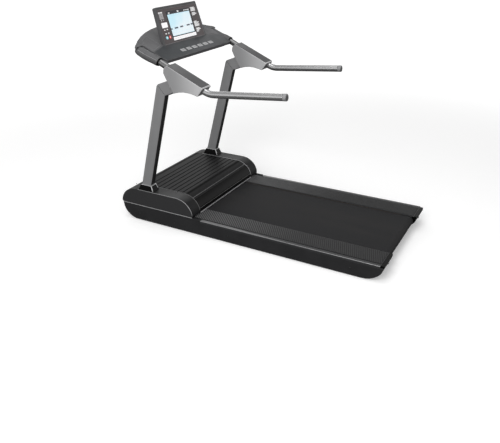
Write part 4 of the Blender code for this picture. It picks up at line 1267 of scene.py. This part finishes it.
def display_rear():
    """The back of the display: a stepped cover, cooling slots, screws and the neck that carries it."""
    face = DISPLAY @ Matrix.Translation((0, 0.026, 0)) @ quarter_turn("X", -1) @ HALF_TURN
    cover = [(-0.205, 0.060), (0.205, 0.060), (0.192, 0.218), (-0.192, 0.218)]
    plate("display_back_cover", [cover], -0.0005, 0.0060, face, "charcoal_plastic", 0.002)
    shape = bmesh.new()
    for i in range(9):
        z = 0.128 + 0.0085 * i
        add_block(shape, (-0.070, z, 0.0055), (0.070, z + 0.0034, 0.0066), face)
    from_shape("display_vents", shape, "gloss_black", 0.0003)
    shape = bmesh.new()
    for x, z in ((-0.188, 0.074), (0.188, 0.074), (-0.178, 0.204), (0.178, 0.204)):
        screw(shape, face @ Matrix.Translation((x, z, 0.0058)), 0.0040)
    from_shape("display_screws", shape, "black_steel")
    shape = bmesh.new()
    wedge = [(0.0255, 0.0280), (0.0900, 0.0850), (0.0780, 0.1020), (0.0400, 0.1480), (0.0255, 0.1480)]
    add_prism(shape, wedge, -0.068, 0.068, DISPLAY @ side_on(0, 0))
    from_shape("display_neck", shape, "charcoal_plastic", 0.004, 3)


# ------------------------------------------------------------------ frame nodes

OWN_FINISH = {
    "hood_centre": "hood_ribbed", "hood_side_left": "hood_shell", "hood_side_right": "hood_shell",
    "display_case": "display_case", "display_screen": "lit_screen",
    "handle_cap_left": "handle_cap", "handle_cap_right": "handle_cap",
    "handle_tube_left": "tube_silver", "handle_tube_right": "tube_silver",
    "handle_housing_left": "housing_paint", "handle_housing_right": "housing_paint",
}


def dress_frame():
    """Every node of the frame gets its finish, softly broken edges and clean smooth shading."""
    slots = {part["node"]: part["material_slot"] for part in frame["record"]["subparts"]}
    for name, node in frame["nodes"].items():
        finish = FINISHES[OWN_FINISH.get(name, slots[name])]
        node.data.materials.clear()
        node.data.materials.append(finish.material)
        custom = node.data.attributes.get("custom_normal")
        if custom:
            node.data.attributes.remove(custom)
        node.data.shade_smooth()
        weld = node.modifiers.new("joined faces", "WELD")
        weld.merge_threshold = 0.00001
        flat = node.modifiers.new("flat faces", "DECIMATE")
        flat.decimate_type = "DISSOLVE"
        flat.angle_limit = math.radians(0.4)
        edge = node.modifiers.new("broken edges", "BEVEL")
        edge.width, edge.segments = 0.0006, 2
        edge.limit_method, edge.angle_limit = "ANGLE", SHARP
        even_shading(node)


camera()
studio()
dress_frame()
hood_beads()
lip_trim()
front_seal()
side_trims()
rail_dressing()
boot_edges()
skirt_fixings()
hood_fixings()
power_entry()
wheel_carriers()
motor_bay_wiring()
upright_covers()
elbow_seams()
housing_dressing()
pod_dressing()
keypad_deck()
key_marks()
tray_dishes()
screen_surround()
panel_edge()
panel_marks()
key_symbols()
screen_readout()
display_rear()
